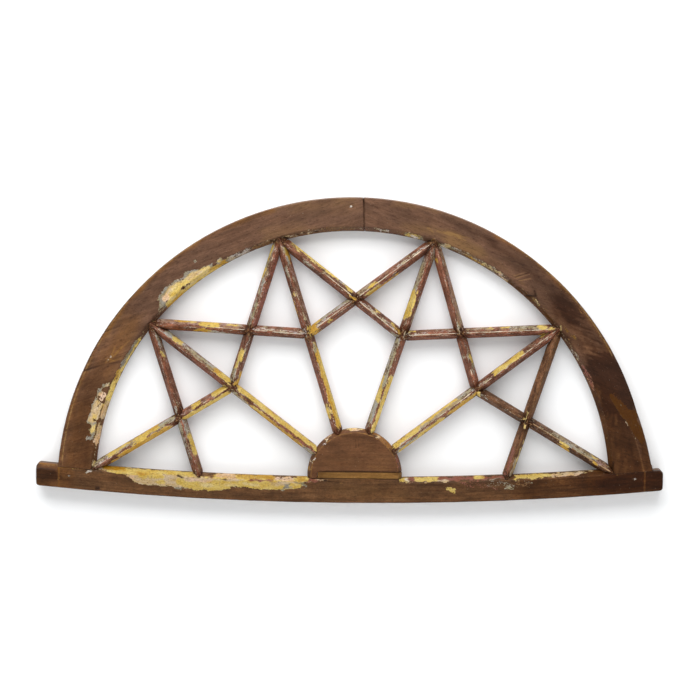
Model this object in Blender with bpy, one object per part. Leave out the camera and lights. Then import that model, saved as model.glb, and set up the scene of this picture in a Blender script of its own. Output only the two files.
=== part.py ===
"""Half-round fanlight sash with a star of glazing bars, all in wood.

Frame: +X to the right, +Z up, the moulded front towards -Y and the back face on y = 0.
The origin is the point the arch is struck from, on the back face of the bottom rail.

Pieces: two arch segments butted near the crown, a bottom rail with a slight sag, a
half-round hub with a strip let in under it, four long rays and ten short bars that
make the star. Every opening is bevelled at the front and rebated for glass behind.
"""

import math

import bmesh
import bpy
from mathutils import Matrix, Vector

# ---------------------------------------------------------------- driving dimensions
THICKNESS = 0.040  # front face to back face, the same for every piece
GAP = 0.0003  # clearance between pieces that touch

BEVEL_DEPTH = 0.013  # how far back the bevel of every edge runs
FRAME_BEVEL = 0.0095  # width of that bevel on the arch and the rail
HUB_BEVEL = 0.0065  # and on the hub
REBATE_START = 0.022  # depth at which the glazing rebate begins
REBATE_WIDTH = 0.0065  # how far the rebate steps into the wood

OUTER_RADIUS = 0.5474
INNER_RADIUS = 0.4764
OPENING_CENTRE = (0.0, 0.009)  # the opening is struck from above the origin
FLARE_ANGLE = math.radians(17.0)  # below this the right foot's outer edge is straight
FLARE_FOOT = (0.5558, 0.0475)  # where that straight edge meets the horn
FOOT_LEVEL = 0.010  # the arch is sawn here before its feet are fitted to the rail
CROWN_JOINT = (0.017, 0.512)
CROWN_JOINT_TILT = math.radians(2.0)

RAIL_SAG_RADIUS = 5.92  # the rail's edges are arcs that dip at the middle
RAIL_LOW_POINT = (-0.006, 0.029)  # lowest point of the top edge
RAIL_HEIGHT = 0.0475
RAIL_ENDS = (-0.586, 0.575)
RAIL_CORNER = 0.0065  # rounding of its four corners
HORN_STARTS = (-0.5458, 0.5561)  # outer sides of the arch's feet
HORN_DROPS = (0.0055, 0.009)  # how far each horn is planed down below the top edge

HUB_CENTRE = (0.004, 0.0325)
HUB_RADIUS = 0.088
HUB_SEAT = 0.0275  # level of the rail under the hub
STRIP_CORNER = (-0.065, 0.0397)  # upper left corner of the let-in strip

BAR_WIDTH = 0.0195
BAR_NOSE = 0.0046  # flat along the front of each bar
BAR_TONGUE = 0.0065  # rib between the panes, behind the rebates
HALVING_DEPTH = 0.0165  # crossing bars are halved into each other at this depth

FAN_CENTRE = (0.0003, 0.023)
RAY_ANGLES = [math.radians(angle) for angle in (142.4, 107.2, 71.7, 37.0)]
NODE_RADII = (0.283, 0.283, 0.2845, 0.284, 0.284, 0.283)  # of inner nodes 0 to 5

ARC_STEPS = 144  # facets in a full turn about the opening
HUB_STEPS = 96  # and about the hub
RAIL_STEPS = 24
CORNER_STEPS = 4
OVERRUN = 0.040  # how far bars and cutters run on past the pieces that trim them
PROUD = 0.002  # how far cutters stand out of the front and back faces


# ---------------------------------------------------------------- scene and materials
def clear_scene():
    """Empties the scene and returns a collection for the pieces and one for cutters."""
    for obj in list(bpy.data.objects):
        bpy.data.objects.remove(obj, do_unlink=True)
    made = [bpy.data.collections.new(name) for name in ("fanlight_window", "cutters")]
    for collection in made:
        bpy.context.scene.collection.children.link(collection)
    return made


def wood(name, colour, roughness):
    """A plain wooden finish."""
    material = bpy.data.materials.new(name)
    material.use_nodes = True
    shader = material.node_tree.nodes["Principled BSDF"]
    shader.inputs["Base Color"].default_value = (*colour, 1.0)
    shader.inputs["Roughness"].default_value = roughness
    shader.inputs["Metallic"].default_value = 0.0
    return material


# ---------------------------------------------------------------- making solids
def add_object(name, mesh, collection, material=None):
    """Links a closed mesh as an object. Without a material it is a hidden cutter."""
    work = bmesh.new()
    work.from_mesh(mesh)
    bmesh.ops.remove_doubles(work, verts=work.verts, dist=1e-6)
    bmesh.ops.recalc_face_normals(work, faces=work.faces)
    work.to_mesh(mesh)
    work.free()
    obj = bpy.data.objects.new(name, mesh)
    collection.objects.link(obj)
    if material:
        mesh.materials.append(material)
    else:
        obj.hide_render = True
        obj.display_type = "WIRE"
    return obj


def extruded(name, outline, length, matrix, collection, material=None):
    """A flat outline, filled, extruded by length along its own Z and set by matrix."""
    curve = bpy.data.curves.new(name, "CURVE")
    curve.dimensions = "2D"
    curve.fill_mode = "BOTH"
    curve.extrude = length / 2
    spline = curve.splines.new("POLY")
    spline.points.add(len(outline) - 1)
    for point, (x, y) in zip(spline.points, outline):
        point.co = (x, y, 0.0, 1.0)
    spline.use_cyclic_u = True
    guide = bpy.data.objects.new(name, curve)
    collection.objects.link(guide)
    graph = bpy.context.evaluated_depsgraph_get()
    mesh = bpy.data.meshes.new_from_object(guide.evaluated_get(graph))
    bpy.data.objects.remove(guide, do_unlink=True)
    mesh.transform(matrix)
    return add_object(name, mesh, collection, material)


def upright(name, outline, front, back, collection, material=None):
    """An outline of (x, z) points with straight sides from one depth to another."""
    middle = Vector((0.0, (front + back) / 2 - THICKNESS, 0.0))
    stand = Matrix.Translation(middle) @ Matrix.Rotation(math.radians(90), 4, "X")
    return extruded(name, outline, back - front, stand, collection, material)


def turned(name, profile, centre, collection, material=None, steps=ARC_STEPS, sweep=None):
    """A profile of (radius, depth) points spun about a front-to-back axis.

    The profile is a closed loop, unless both its ends lie on the axis. A sweep gives
    the first angle and the angle turned through, and then the ends are capped.
    """
    start, turn = sweep or (0.0, 2 * math.pi)
    middle = Vector((centre[0], 0.0, centre[1]))
    spoke = Vector((math.cos(start), 0.0, math.sin(start)))
    back = Vector((0.0, 1.0, 0.0))
    work = bmesh.new()
    verts = [
        work.verts.new(middle + spoke * radius + back * (depth - THICKNESS))
        for radius, depth in profile
    ]
    pairs = list(zip(verts, verts[1:]))
    if profile[0][0] > 0.0:
        pairs.append((verts[-1], verts[0]))
    edges = [work.edges.new(pair) for pair in pairs]
    bmesh.ops.spin(
        work, geom=verts + edges, cent=middle, axis=-back, angle=turn, steps=steps
    )
    bmesh.ops.remove_doubles(work, verts=work.verts, dist=1e-6)
    if sweep:
        rim = [edge for edge in work.edges if edge.is_boundary]
        bmesh.ops.holes_fill(work, edges=rim)
    mesh = bpy.data.meshes.new(name)
    work.to_mesh(mesh)
    work.free()
    return add_object(name, mesh, collection, material)


def saw_off(obj, point, outward):
    """Cuts an object flat at point (x, z) and drops what lies towards outward (x, z)."""
    work = bmesh.new()
    work.from_mesh(obj.data)
    bmesh.ops.bisect_plane(
        work,
        geom=[*work.verts, *work.edges, *work.faces],
        plane_co=(point[0], 0.0, point[1]),
        plane_no=(outward[0], 0.0, outward[1]),
        clear_outer=True,
    )
    rim = [edge for edge in work.edges if edge.is_boundary]
    bmesh.ops.holes_fill(work, edges=rim)
    bmesh.ops.recalc_face_normals(work, faces=work.faces)
    work.to_mesh(obj.data)
    work.free()


def cut(obj, cutter):
    """Takes a cutter's shape out of obj with an exact Boolean modifier."""
    modifier = obj.modifiers.new(f"less_{cutter.name}", "BOOLEAN")
    modifier.operation = "DIFFERENCE"
    modifier.solver = "EXACT"
    modifier.object = cutter


# ---------------------------------------------------------------- points and sections
def polar(centre, radius, angle):
    """The (x, z) point at a distance and angle from centre."""
    return (centre[0] + radius * math.cos(angle), centre[1] + radius * math.sin(angle))


def arc(centre, radius, start, end, steps):
    """Points along an arc, both ends included."""
    return [polar(centre, radius, start + (end - start) * i / steps) for i in range(steps + 1)]


def rounded(before, corner, after, radius):
    """The points that round off a corner between its two neighbours."""
    here = Vector(corner)
    towards = [(Vector(point) - here).normalized() for point in (before, after)]
    half = towards[0].angle(towards[1]) / 2
    middle = here + (towards[0] + towards[1]).normalized() * radius / math.sin(half)
    ends = [here + side * radius / math.tan(half) - middle for side in towards]
    turn = ends[0].angle_signed(ends[1])
    return [
        tuple(middle + Matrix.Rotation(-turn * i / CORNER_STEPS, 2) @ ends[0])
        for i in range(CORNER_STEPS + 1)
    ]


def edge_section(radius, bevel, rebate=0.0, grow=0.0):
    """A moulded edge as (radius, depth) points, from the front to the back.

    Bevel and rebate are added to the radius: they are positive where the wood lies
    outside it, as round an opening, and negative where it lies inside.
    """
    points = [
        (radius + grow + bevel * (1 + PROUD / BEVEL_DEPTH), -PROUD),
        (radius + grow, BEVEL_DEPTH),
    ]
    if rebate:
        shoulder = REBATE_START + abs(grow)
        points += [(radius + grow, shoulder), (radius + grow + rebate, shoulder)]
    return points + [(radius + grow + rebate, THICKNESS + PROUD)]


def bar_section(grow=0.0, front=0.0, back=THICKNESS):
    """A glazing bar's cross-section as (across, depth), clipped to a range of depths."""
    nose, side, tongue = (width / 2 + grow for width in (BAR_NOSE, BAR_WIDTH, BAR_TONGUE))
    shoulder = REBATE_START + grow
    slope = (side - nose) / BEVEL_DEPTH
    half = [(side, front)]
    if front < BEVEL_DEPTH:
        half = [(nose + slope * front, front), (side, BEVEL_DEPTH)]
    if back > shoulder:
        half += [(side, shoulder), (tongue, shoulder), (tongue, back)]
    else:
        half += [(side, back)]
    return half + [(-across, depth) for across, depth in reversed(half)]


# ---------------------------------------------------------------- layout of the star
def rail_edge(x):
    """Height of the rail's top edge at x."""
    low_x, low_z = RAIL_LOW_POINT
    return low_z + (x - low_x) ** 2 / (2 * RAIL_SAG_RADIUS)


def arch_node(ray):
    """Where a ray meets the arch, halfway across the arch's bevel."""
    angle = RAY_ANGLES[ray - 1]
    across = FAN_CENTRE[0] - OPENING_CENTRE[0], FAN_CENTRE[1] - OPENING_CENTRE[1]
    along = across[0] * math.cos(angle) + across[1] * math.sin(angle)
    radius = INNER_RADIUS + FRAME_BEVEL / 2
    reach = math.sqrt(along**2 + radius**2 - across[0] ** 2 - across[1] ** 2) - along
    return polar(FAN_CENTRE, reach, angle)


def inner_node(index):
    """An inner node of the star: 1 to 4 lie on the rays, 0 and 5 on the rail."""
    angle = [math.pi, *RAY_ANGLES, 0.0][index]
    return polar(FAN_CENTRE, NODE_RADII[index], angle)


def foot_node(side):
    """The corner where the bevels of the arch and the rail meet on the front face."""
    radius = INNER_RADIUS + FRAME_BEVEL
    height = rail_edge(side * radius) - FRAME_BEVEL
    across = math.sqrt(radius**2 - (height - OPENING_CENTRE[1]) ** 2)
    return (OPENING_CENTRE[0] + side * across, height)


def crossing(first, second):
    """The (x, z) point where two bars, given by their ends, cross."""
    (a, b), (c, d) = [[Vector(end) for end in ends] for ends in (first, second)]
    run, other = b - a, d - c
    return tuple(a + run * ((c - a).cross(other) / run.cross(other)))


# ---------------------------------------------------------------- cutters
def closed_to_axis(edge):
    """An edge section carried in to the axis, so that it turns into a solid disc."""
    return [(0.0, edge[0][1]), *edge, (0.0, edge[-1][1])]


def closed_at(radius, edge):
    """An edge section carried out to another radius, so that it turns into a ring."""
    return [*edge, (radius, edge[-1][1]), (radius, edge[0][1])]


def swept_along_rail(name, profile, span, cutters):
    """A profile swept along the rail's top line between two values of x."""
    low_x, low_z = RAIL_LOW_POINT
    first, last = (math.asin((x - low_x) / RAIL_SAG_RADIUS) for x in span)
    centre = (low_x, low_z + RAIL_SAG_RADIUS)
    sweep = (first - math.pi / 2, last - first)
    return turned(name, profile, centre, cutters, steps=RAIL_STEPS, sweep=sweep)


def block(name, low, high, cutters):
    """A rectangular cutter between two (x, z) corners, through the whole thickness."""
    outline = [low, (high[0], low[1]), high, (low[0], high[1])]
    return upright(name, outline, -PROUD, THICKNESS + PROUD, cutters)


def make_clearances(cutters):
    """The arch, the rail and the hub grown by the gap, for bars and feet to be cut to."""
    rim = OUTER_RADIUS + OVERRUN
    deep = RAIL_SAG_RADIUS + RAIL_HEIGHT + OVERRUN
    span = (RAIL_ENDS[0] - OVERRUN, RAIL_ENDS[1] + OVERRUN)
    around = edge_section(INNER_RADIUS, FRAME_BEVEL, REBATE_WIDTH, grow=-GAP)
    plain = edge_section(RAIL_SAG_RADIUS, FRAME_BEVEL, grow=-GAP)
    rebated = edge_section(RAIL_SAG_RADIUS, FRAME_BEVEL, REBATE_WIDTH, grow=-GAP)
    hub = edge_section(HUB_RADIUS, -HUB_BEVEL, -REBATE_WIDTH, grow=GAP)
    return {
        "arch": turned("arch_clearance", closed_at(rim, around), OPENING_CENTRE, cutters),
        "foot": swept_along_rail("foot_clearance", closed_at(deep, plain), span, cutters),
        "rail": swept_along_rail("rail_clearance", closed_at(deep, rebated), span, cutters),
        "hub": turned("hub_clearance", closed_to_axis(hub), HUB_CENTRE, cutters, steps=HUB_STEPS),
    }


# ---------------------------------------------------------------- frame
def make_arch(pieces, cutters, clearances, material):
    """Two segments that butt near the crown and stand on the rail's bevelled edge."""
    edge = edge_section(INNER_RADIUS, FRAME_BEVEL, REBATE_WIDTH)
    opening = turned("opening_cutter", closed_to_axis(edge), OPENING_CENTRE, cutters)
    left_foot = math.pi - math.asin(FOOT_LEVEL / OUTER_RADIUS)
    outline = arc((0.0, 0.0), OUTER_RADIUS, left_foot, FLARE_ANGLE, ARC_STEPS // 2)
    outline += [FLARE_FOOT, (FLARE_FOOT[0], FOOT_LEVEL)]
    towards_right = Vector((math.cos(CROWN_JOINT_TILT), math.sin(CROWN_JOINT_TILT)))
    for name, outward in (("arch_left", towards_right), ("arch_right", -towards_right)):
        segment = upright(name, outline, 0.0, THICKNESS, pieces, material)
        saw_off(segment, Vector(CROWN_JOINT) - outward * GAP / 2, outward)
        cut(segment, opening)
        cut(segment, clearances["foot"])


def rail_outline():
    """The rail from the front: a shallow arc with a planed horn beyond each foot."""

    def line(start, end, lowered, steps=RAIL_STEPS):
        """Points at even steps of x, lowered from the rail's top edge."""
        spread = [start + (end - start) * i / steps for i in range(steps + 1)]
        return [(x, rail_edge(x) - lowered) for x in spread]

    left_horn = line(RAIL_ENDS[0], HORN_STARTS[0], HORN_DROPS[0], steps=1)
    right_horn = line(HORN_STARTS[1], RAIL_ENDS[1], HORN_DROPS[1], steps=1)
    underside = line(RAIL_ENDS[1], RAIL_ENDS[0], RAIL_HEIGHT)
    corners = [left_horn[0], right_horn[1], underside[0], underside[-1]]
    return [
        *rounded(corners[3], corners[0], left_horn[1], RAIL_CORNER),
        left_horn[1],
        *line(*HORN_STARTS, 0.0),
        right_horn[0],
        *rounded(right_horn[0], corners[1], corners[2], RAIL_CORNER),
        *rounded(corners[1], corners[2], underside[1], RAIL_CORNER),
        *underside[1:-1],
        *rounded(underside[-2], corners[3], corners[0], RAIL_CORNER),
    ]


def make_rail(pieces, cutters, material):
    """The bottom rail: a bevel and a rebate along its top that both stop at the hub."""
    rail = upright("bottom_rail", rail_outline(), 0.0, THICKNESS, pieces, material)
    hub_left, hub_right = (HUB_CENTRE[0] + side * HUB_RADIUS for side in (-1, 1))

    edge = edge_section(0.0, -HUB_BEVEL, -REBATE_WIDTH)
    plan = [(hub_right + r, d) for r, d in edge] + [(hub_left - r, d) for r, d in reversed(edge)]
    raised = Matrix.Translation((0.0, -THICKNESS, HUB_CENTRE[1]))
    stop = extruded("hub_stop", plan, 2 * OVERRUN, raised, cutters)

    over = FRAME_BEVEL * PROUD / BEVEL_DEPTH
    bevel_cuts = (
        ("rail_bevel", 0.0, (RAIL_ENDS[0] - OVERRUN, RAIL_ENDS[1] + OVERRUN)),
        ("horn_bevel", HORN_DROPS[0], (RAIL_ENDS[0] - OVERRUN, HORN_STARTS[0])),
    )
    for name, lowered, span in bevel_cuts:
        top = RAIL_SAG_RADIUS + lowered
        wedge = [
            (top + FRAME_BEVEL + over, -PROUD),
            (top - over, BEVEL_DEPTH + PROUD),
            (top - over, -PROUD),
        ]
        cutter = swept_along_rail(name, wedge, span, cutters)
        cut(cutter, stop)
        cut(rail, cutter)

    floor = RAIL_SAG_RADIUS + REBATE_WIDTH
    above = RAIL_SAG_RADIUS - OVERRUN
    behind = THICKNESS + PROUD
    groove = [(floor, REBATE_START), (floor, behind), (above, behind), (above, REBATE_START)]
    reach = INNER_RADIUS + REBATE_WIDTH
    cutter = swept_along_rail("rail_rebate", groove, (-reach, reach), cutters)
    cut(cutter, stop)
    cut(rail, cutter)

    low = (hub_left - GAP, HUB_SEAT)
    cut(rail, block("hub_seat", low, (hub_right + GAP, HUB_SEAT + OVERRUN), cutters))


def make_hub(pieces, cutters, material, strip_material):
    """The half-round hub, and the strip of new wood let in under its right side."""
    edge = edge_section(HUB_RADIUS, -HUB_BEVEL, -REBATE_WIDTH)
    edge[0] = (HUB_RADIUS - HUB_BEVEL, 0.0)
    edge[-1] = (HUB_RADIUS - REBATE_WIDTH, THICKNESS)
    disc = closed_to_axis(edge)
    left, top = STRIP_CORNER
    low = (left, HUB_SEAT - OVERRUN)
    right = HUB_CENTRE[0] + HUB_RADIUS + OVERRUN

    hub = turned("hub", disc, HUB_CENTRE, pieces, material, steps=HUB_STEPS)
    saw_off(hub, (0.0, HUB_SEAT + GAP), (0.0, -1.0))
    cut(hub, block("strip_notch", low, (right, top), cutters))

    strip = turned("hub_strip", disc, HUB_CENTRE, pieces, strip_material, steps=HUB_STEPS)
    saw_off(strip, (0.0, HUB_SEAT + GAP), (0.0, -1.0))
    saw_off(strip, (0.0, top - GAP), (0.0, 1.0))
    saw_off(strip, (left + GAP, 0.0), (-1.0, 0.0))


# ---------------------------------------------------------------- bars
def bar(name, start, end, section, collection, material=None):
    """A section of (across, depth) points run from start to end and past them."""
    first, last = (Vector((x, 0.0, z)) for x, z in (start, end))
    along = (last - first).normalized()
    into = Vector((0.0, 1.0, 0.0))
    frame = Matrix((into.cross(along), into, along)).transposed().to_4x4()
    middle = (first + last) / 2 - into * THICKNESS
    length = (last - first).length + 2 * OVERRUN
    return extruded(name, section, length, Matrix.Translation(middle) @ frame, collection, material)


def star_lines():
    """The ends of every short bar by name, with the rays that it meets at each end."""
    lines = {"foot_bar_left": (foot_node(-1), inner_node(1), (None, 1))}
    for ray in range(1, 5):
        for side, inner in (("left", ray - 1), ("right", ray + 1)):
            met = inner if 1 <= inner <= 4 else None
            ends = (arch_node(ray), inner_node(inner), (ray, met))
            lines[f"star_bar_{ray}_{side}"] = ends
    lines["foot_bar_right"] = (foot_node(1), inner_node(4), (None, 4))
    return lines


def make_rays(pieces, cutters, clearances, material):
    """Four bars from the hub to the arch. Returns a grown copy of each, as a cutter."""
    grown = {}
    for ray in range(1, 5):
        ends = (FAN_CENTRE, arch_node(ray))
        rod = bar(f"ray_{ray}", *ends, bar_section(), pieces, material)
        cut(rod, clearances["hub"])
        cut(rod, clearances["arch"])
        section = bar_section(grow=GAP, front=-PROUD, back=THICKNESS + PROUD)
        grown[ray] = bar(f"ray_{ray}_clearance", *ends, section, cutters)
    return grown


def make_star(pieces, cutters, clearances, grown_rays, material):
    """The short bars, scribed to the rays, the arch and the rail where they meet them."""
    lines = star_lines()
    rods = {}
    for name, (start, end, rays) in lines.items():
        rod = bar(name, start, end, bar_section(), pieces, material)
        run = Vector(end) - Vector(start)
        for point, ray, beyond in ((start, rays[0], -run), (end, rays[1], run)):
            if ray:
                angle = RAY_ANGLES[ray - 1]
                outward = Vector((-math.sin(angle), math.cos(angle)))
                saw_off(rod, point, outward if outward.dot(beyond) > 0 else -outward)
                cut(rod, grown_rays[ray])
        cut(rod, clearances["arch"])
        cut(rod, clearances["rail"])
        rods[name] = rod
    order = list(lines)
    for over, under in zip(order[0::2], order[1::2]):
        halve(rods, lines, over, under, cutters)


def halve(rods, lines, over, under, cutters):
    """Notches two crossing bars: the first keeps the front and the second the back."""
    centre = crossing(lines[over][:2], lines[under][:2])
    cuts = (
        (over, under, bar_section(GAP, HALVING_DEPTH, THICKNESS + PROUD)),
        (under, over, bar_section(GAP, -PROUD, HALVING_DEPTH + GAP)),
    )
    for notched, passing, section in cuts:
        reach = (Vector(lines[passing][1]) - Vector(lines[passing][0])).normalized() * GAP
        ends = (Vector(centre) - reach, Vector(centre) + reach)
        cut(rods[notched], bar(f"{notched}_notch", *ends, section, cutters))


def main():
    """Builds the whole sash."""
    pieces, cutters = clear_scene()
    frame_wood = wood("dark_stained_wood", (0.13, 0.068, 0.042), 0.55)
    bar_wood = wood("red_brown_paint", (0.17, 0.062, 0.038), 0.6)
    new_wood = wood("bare_wood", (0.25, 0.135, 0.055), 0.65)
    clearances = make_clearances(cutters)
    make_arch(pieces, cutters, clearances, frame_wood)
    make_rail(pieces, cutters, frame_wood)
    make_hub(pieces, cutters, frame_wood, new_wood)
    grown_rays = make_rays(pieces, cutters, clearances, bar_wood)
    make_star(pieces, cutters, clearances, grown_rays, bar_wood)


main()
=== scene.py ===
"""Finished look of the half-round fanlight sash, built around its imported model.

Every piece of timber is copied from its CAD node, laid straight on a bench, given a close
mesh with softened arrises, and put back. Old coats of paint, wear, cracks and nail holes are
strokes laid out along each piece: they carve the mesh and steer the material.
"""

import itertools
import logging
import math
from dataclasses import KW_ONLY, dataclass, field
from enum import Enum
from typing import Callable, ClassVar, Iterable, Sequence

import bpy
import numpy as np
from mathutils import Matrix, Vector


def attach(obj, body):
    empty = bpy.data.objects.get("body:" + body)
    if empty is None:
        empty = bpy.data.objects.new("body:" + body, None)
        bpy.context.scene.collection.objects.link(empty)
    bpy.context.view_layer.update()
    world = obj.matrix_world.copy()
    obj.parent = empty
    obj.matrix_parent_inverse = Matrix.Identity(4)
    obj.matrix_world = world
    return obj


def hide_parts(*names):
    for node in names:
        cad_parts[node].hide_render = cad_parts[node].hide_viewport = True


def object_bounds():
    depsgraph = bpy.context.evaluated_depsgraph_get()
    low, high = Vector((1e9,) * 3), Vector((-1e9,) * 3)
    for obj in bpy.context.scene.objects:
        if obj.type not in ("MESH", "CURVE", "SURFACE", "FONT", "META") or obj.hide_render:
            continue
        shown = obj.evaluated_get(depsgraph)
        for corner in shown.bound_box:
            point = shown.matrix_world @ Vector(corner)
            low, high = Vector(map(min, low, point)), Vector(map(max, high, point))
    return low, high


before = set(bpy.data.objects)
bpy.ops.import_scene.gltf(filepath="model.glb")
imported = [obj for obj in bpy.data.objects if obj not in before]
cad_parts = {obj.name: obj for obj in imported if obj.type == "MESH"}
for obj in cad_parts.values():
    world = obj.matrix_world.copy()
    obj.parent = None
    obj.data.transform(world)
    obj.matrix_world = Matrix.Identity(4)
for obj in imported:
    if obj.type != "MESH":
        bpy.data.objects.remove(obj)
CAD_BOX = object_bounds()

LOG = logging.getLogger("fanlight")
MM = 0.001
BODY = "root"
Colour = tuple[float, float, float]
Point = tuple[float, float]
Place = tuple[float, float, float]
Array = np.ndarray
Socket = bpy.types.NodeSocket
Piece = bpy.types.Object
Mesh = bpy.types.Mesh


class Coat(Enum):
    """What shows where the top coat is gone."""

    CREAM = (0.45, 0.335, 0.175)
    PINK = (0.53, 0.36, 0.20)
    YELLOW = (0.50, 0.36, 0.085)
    STRAW = (0.52, 0.395, 0.145)
    LEMON = (0.60, 0.45, 0.12)
    OCHRE = (0.40, 0.235, 0.035)
    DEEP_OCHRE = (0.36, 0.185, 0.008)
    BUFF = (0.29, 0.225, 0.135)
    ROSE = (0.26, 0.155, 0.105)
    CHALK = (0.41, 0.355, 0.265)
    GREEN = (0.20, 0.18, 0.125)
    SAGE = (0.30, 0.275, 0.19)
    GOLD = (0.54, 0.325, 0.045)
    WHITE = (0.56, 0.51, 0.41)
    SAPWOOD = (0.058, 0.0195, 0.0008)
    AMBER = (0.20, 0.088, 0.021)
    HONEY = (0.125, 0.062, 0.012)
    RED = (0.20, 0.072, 0.042)
    BARE = (0.17, 0.085, 0.030)
    DARK = (0.028, 0.011, 0.004)


(
    CREAM, PINK, YELLOW, STRAW, LEMON, OCHRE, DEEP_OCHRE, BUFF, ROSE, CHALK,
    GREEN, SAGE, GOLD, WHITE, SAPWOOD, AMBER, HONEY, RED, BARE, DARK,
) = Coat


class Slot(Enum):
    """The record's material slots."""

    STAIN = "dark_stained_wood"
    PAINT = "red_brown_paint"
    NEW_WOOD = "bare_wood"


# ------------------------------------------------------------------ marks on a piece
@dataclass(frozen=True)
class Stroke:
    """A stroke on a piece's front, in millimetres along and across the bench.

    width is its half width, or the half widths at start and end. soft is how far its border
    fades, and ragged is how far the border wanders.
    """

    start: Point
    end: Point
    width: float | Point
    _: KW_ONLY
    soft: float = 2.6
    ragged: float = 2.6
    depth_range: ClassVar[Point] = (-2.0, 17.0)

    def cover(self, bench: Array, noise: Array) -> Array:
        """How fully the stroke covers each point.

        Args:
            bench: points as along, depth and across, in metres.
            noise: a value from 0 to 1 at each point, which the border follows.

        Returns:
            0 outside, 0.5 on the border and 1 well inside.
        """
        here = bench[:, [0, 2]] / MM
        depth = bench[:, 1] / MM
        first, run = np.array(self.start), np.subtract(self.end, self.start)
        share = np.clip((here - first) @ run / max(run @ run, 1e-9), 0.0, 1.0)
        gap = np.linalg.norm(here - first - share[:, None] * run, axis=1)
        first_half, last_half = np.broadcast_to(self.width, 2)
        half = first_half + (last_half - first_half) * share
        inside = half - gap + (noise - 0.5) * 2 * self.ragged
        level = np.clip(0.5 + inside / (2 * self.soft), 0.0, 1.0)
        level[(depth < self.depth_range[0]) | (depth > self.depth_range[1])] = 0.0
        return level


@dataclass(frozen=True)
class Loss(Stroke):
    """Where the top coat is gone. share says how much of it: 1 all, 0.5 half, 0 none."""

    coat: Coat = YELLOW
    share: float = 1.0


@dataclass(frozen=True)
class Tone(Stroke):
    """A passage where the wood is lighter (value above 0) or darker (below 0)."""

    value: float
    _: KW_ONLY
    soft: float = 13.0
    ragged: float = 10.0


@dataclass(frozen=True)
class Warmth(Stroke):
    """A passage where the stain is more orange: value 1 is fully so."""

    value: float = 1.0
    _: KW_ONLY
    soft: float = 16.0
    ragged: float = 12.0


@dataclass(frozen=True)
class Cut(Stroke):
    """A crack, dent or hole, sunk by a depth in millimetres. dark says how dirty it is."""

    sink: float
    dark: float = 1.0
    _: KW_ONLY
    soft: float = 0.6
    ragged: float = 0.7


@dataclass(frozen=True)
class Arris:
    """A long edge of the section in millimetres, where handling has rubbed the finish."""

    across: float
    depth: float
    rub: float = 1.0


def lattice_noise(points: Array, seed: int = 0) -> Array:
    """Smooth noise from 0 to 1 whose lumps are about one unit across.

    Args:
        points: N by 3 positions, already divided by the size of a lump.
        seed: picks another pattern.

    Returns:
        One value for each point.
    """
    # large primes mix a cell's indices and the seed into one number
    cell = np.floor(points).astype(np.int64)
    part = points - cell
    part = part * part * (3 - 2 * part)
    total = np.zeros(len(points))
    for corner in itertools.product((0, 1), repeat=3):
        at = cell + corner
        key = at[:, 0] * 73856093 ^ at[:, 1] * 19349663 ^ at[:, 2] * 83492791 ^ seed * 2654435761
        key = (key ^ key >> 13) * 1274126177 & 0xFFFFFFFF
        value = (key >> 9 & 0xFFFF) / 0xFFFF
        weight = np.prod(np.where(corner, part, 1 - part), axis=1)
        total += value * weight
    return total


def layered_noise(points: Array, seed: int = 0, layers: int = 3) -> Array:
    """Lattice noise in several layers, each half as large and half as strong.

    Args:
        points: N by 3 positions, already divided by the largest lump's size.
        seed: picks another pattern.
        layers: how many layers.

    Returns:
        One value from 0 to 1 for each point.
    """
    weights = [0.5**layer for layer in range(layers)]
    parts = [
        weight * lattice_noise(points * 2**layer, seed + layer)
        for layer, weight in enumerate(weights)
    ]
    return sum(parts) / sum(weights)


class Lumps(Enum):
    """Noise on a piece: a lump's size in millimetres, a step from the piece's seed, and layers."""

    WAVES = ((38, 30, 22), 0, 2)
    NICKS = ((7, 3, 3), 7, 2)
    BORDER = ((9, 6, 5), 3, 3)
    SOFT_BORDER = ((30, 12, 10), 5, 3)
    FLECKS = ((6, 4, 4), 9, 2)
    WANDER_ALONG = ((7, 3.5, 3.5), 13, 2)
    WANDER_ACROSS = ((7, 3.5, 3.5), 14, 2)


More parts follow.
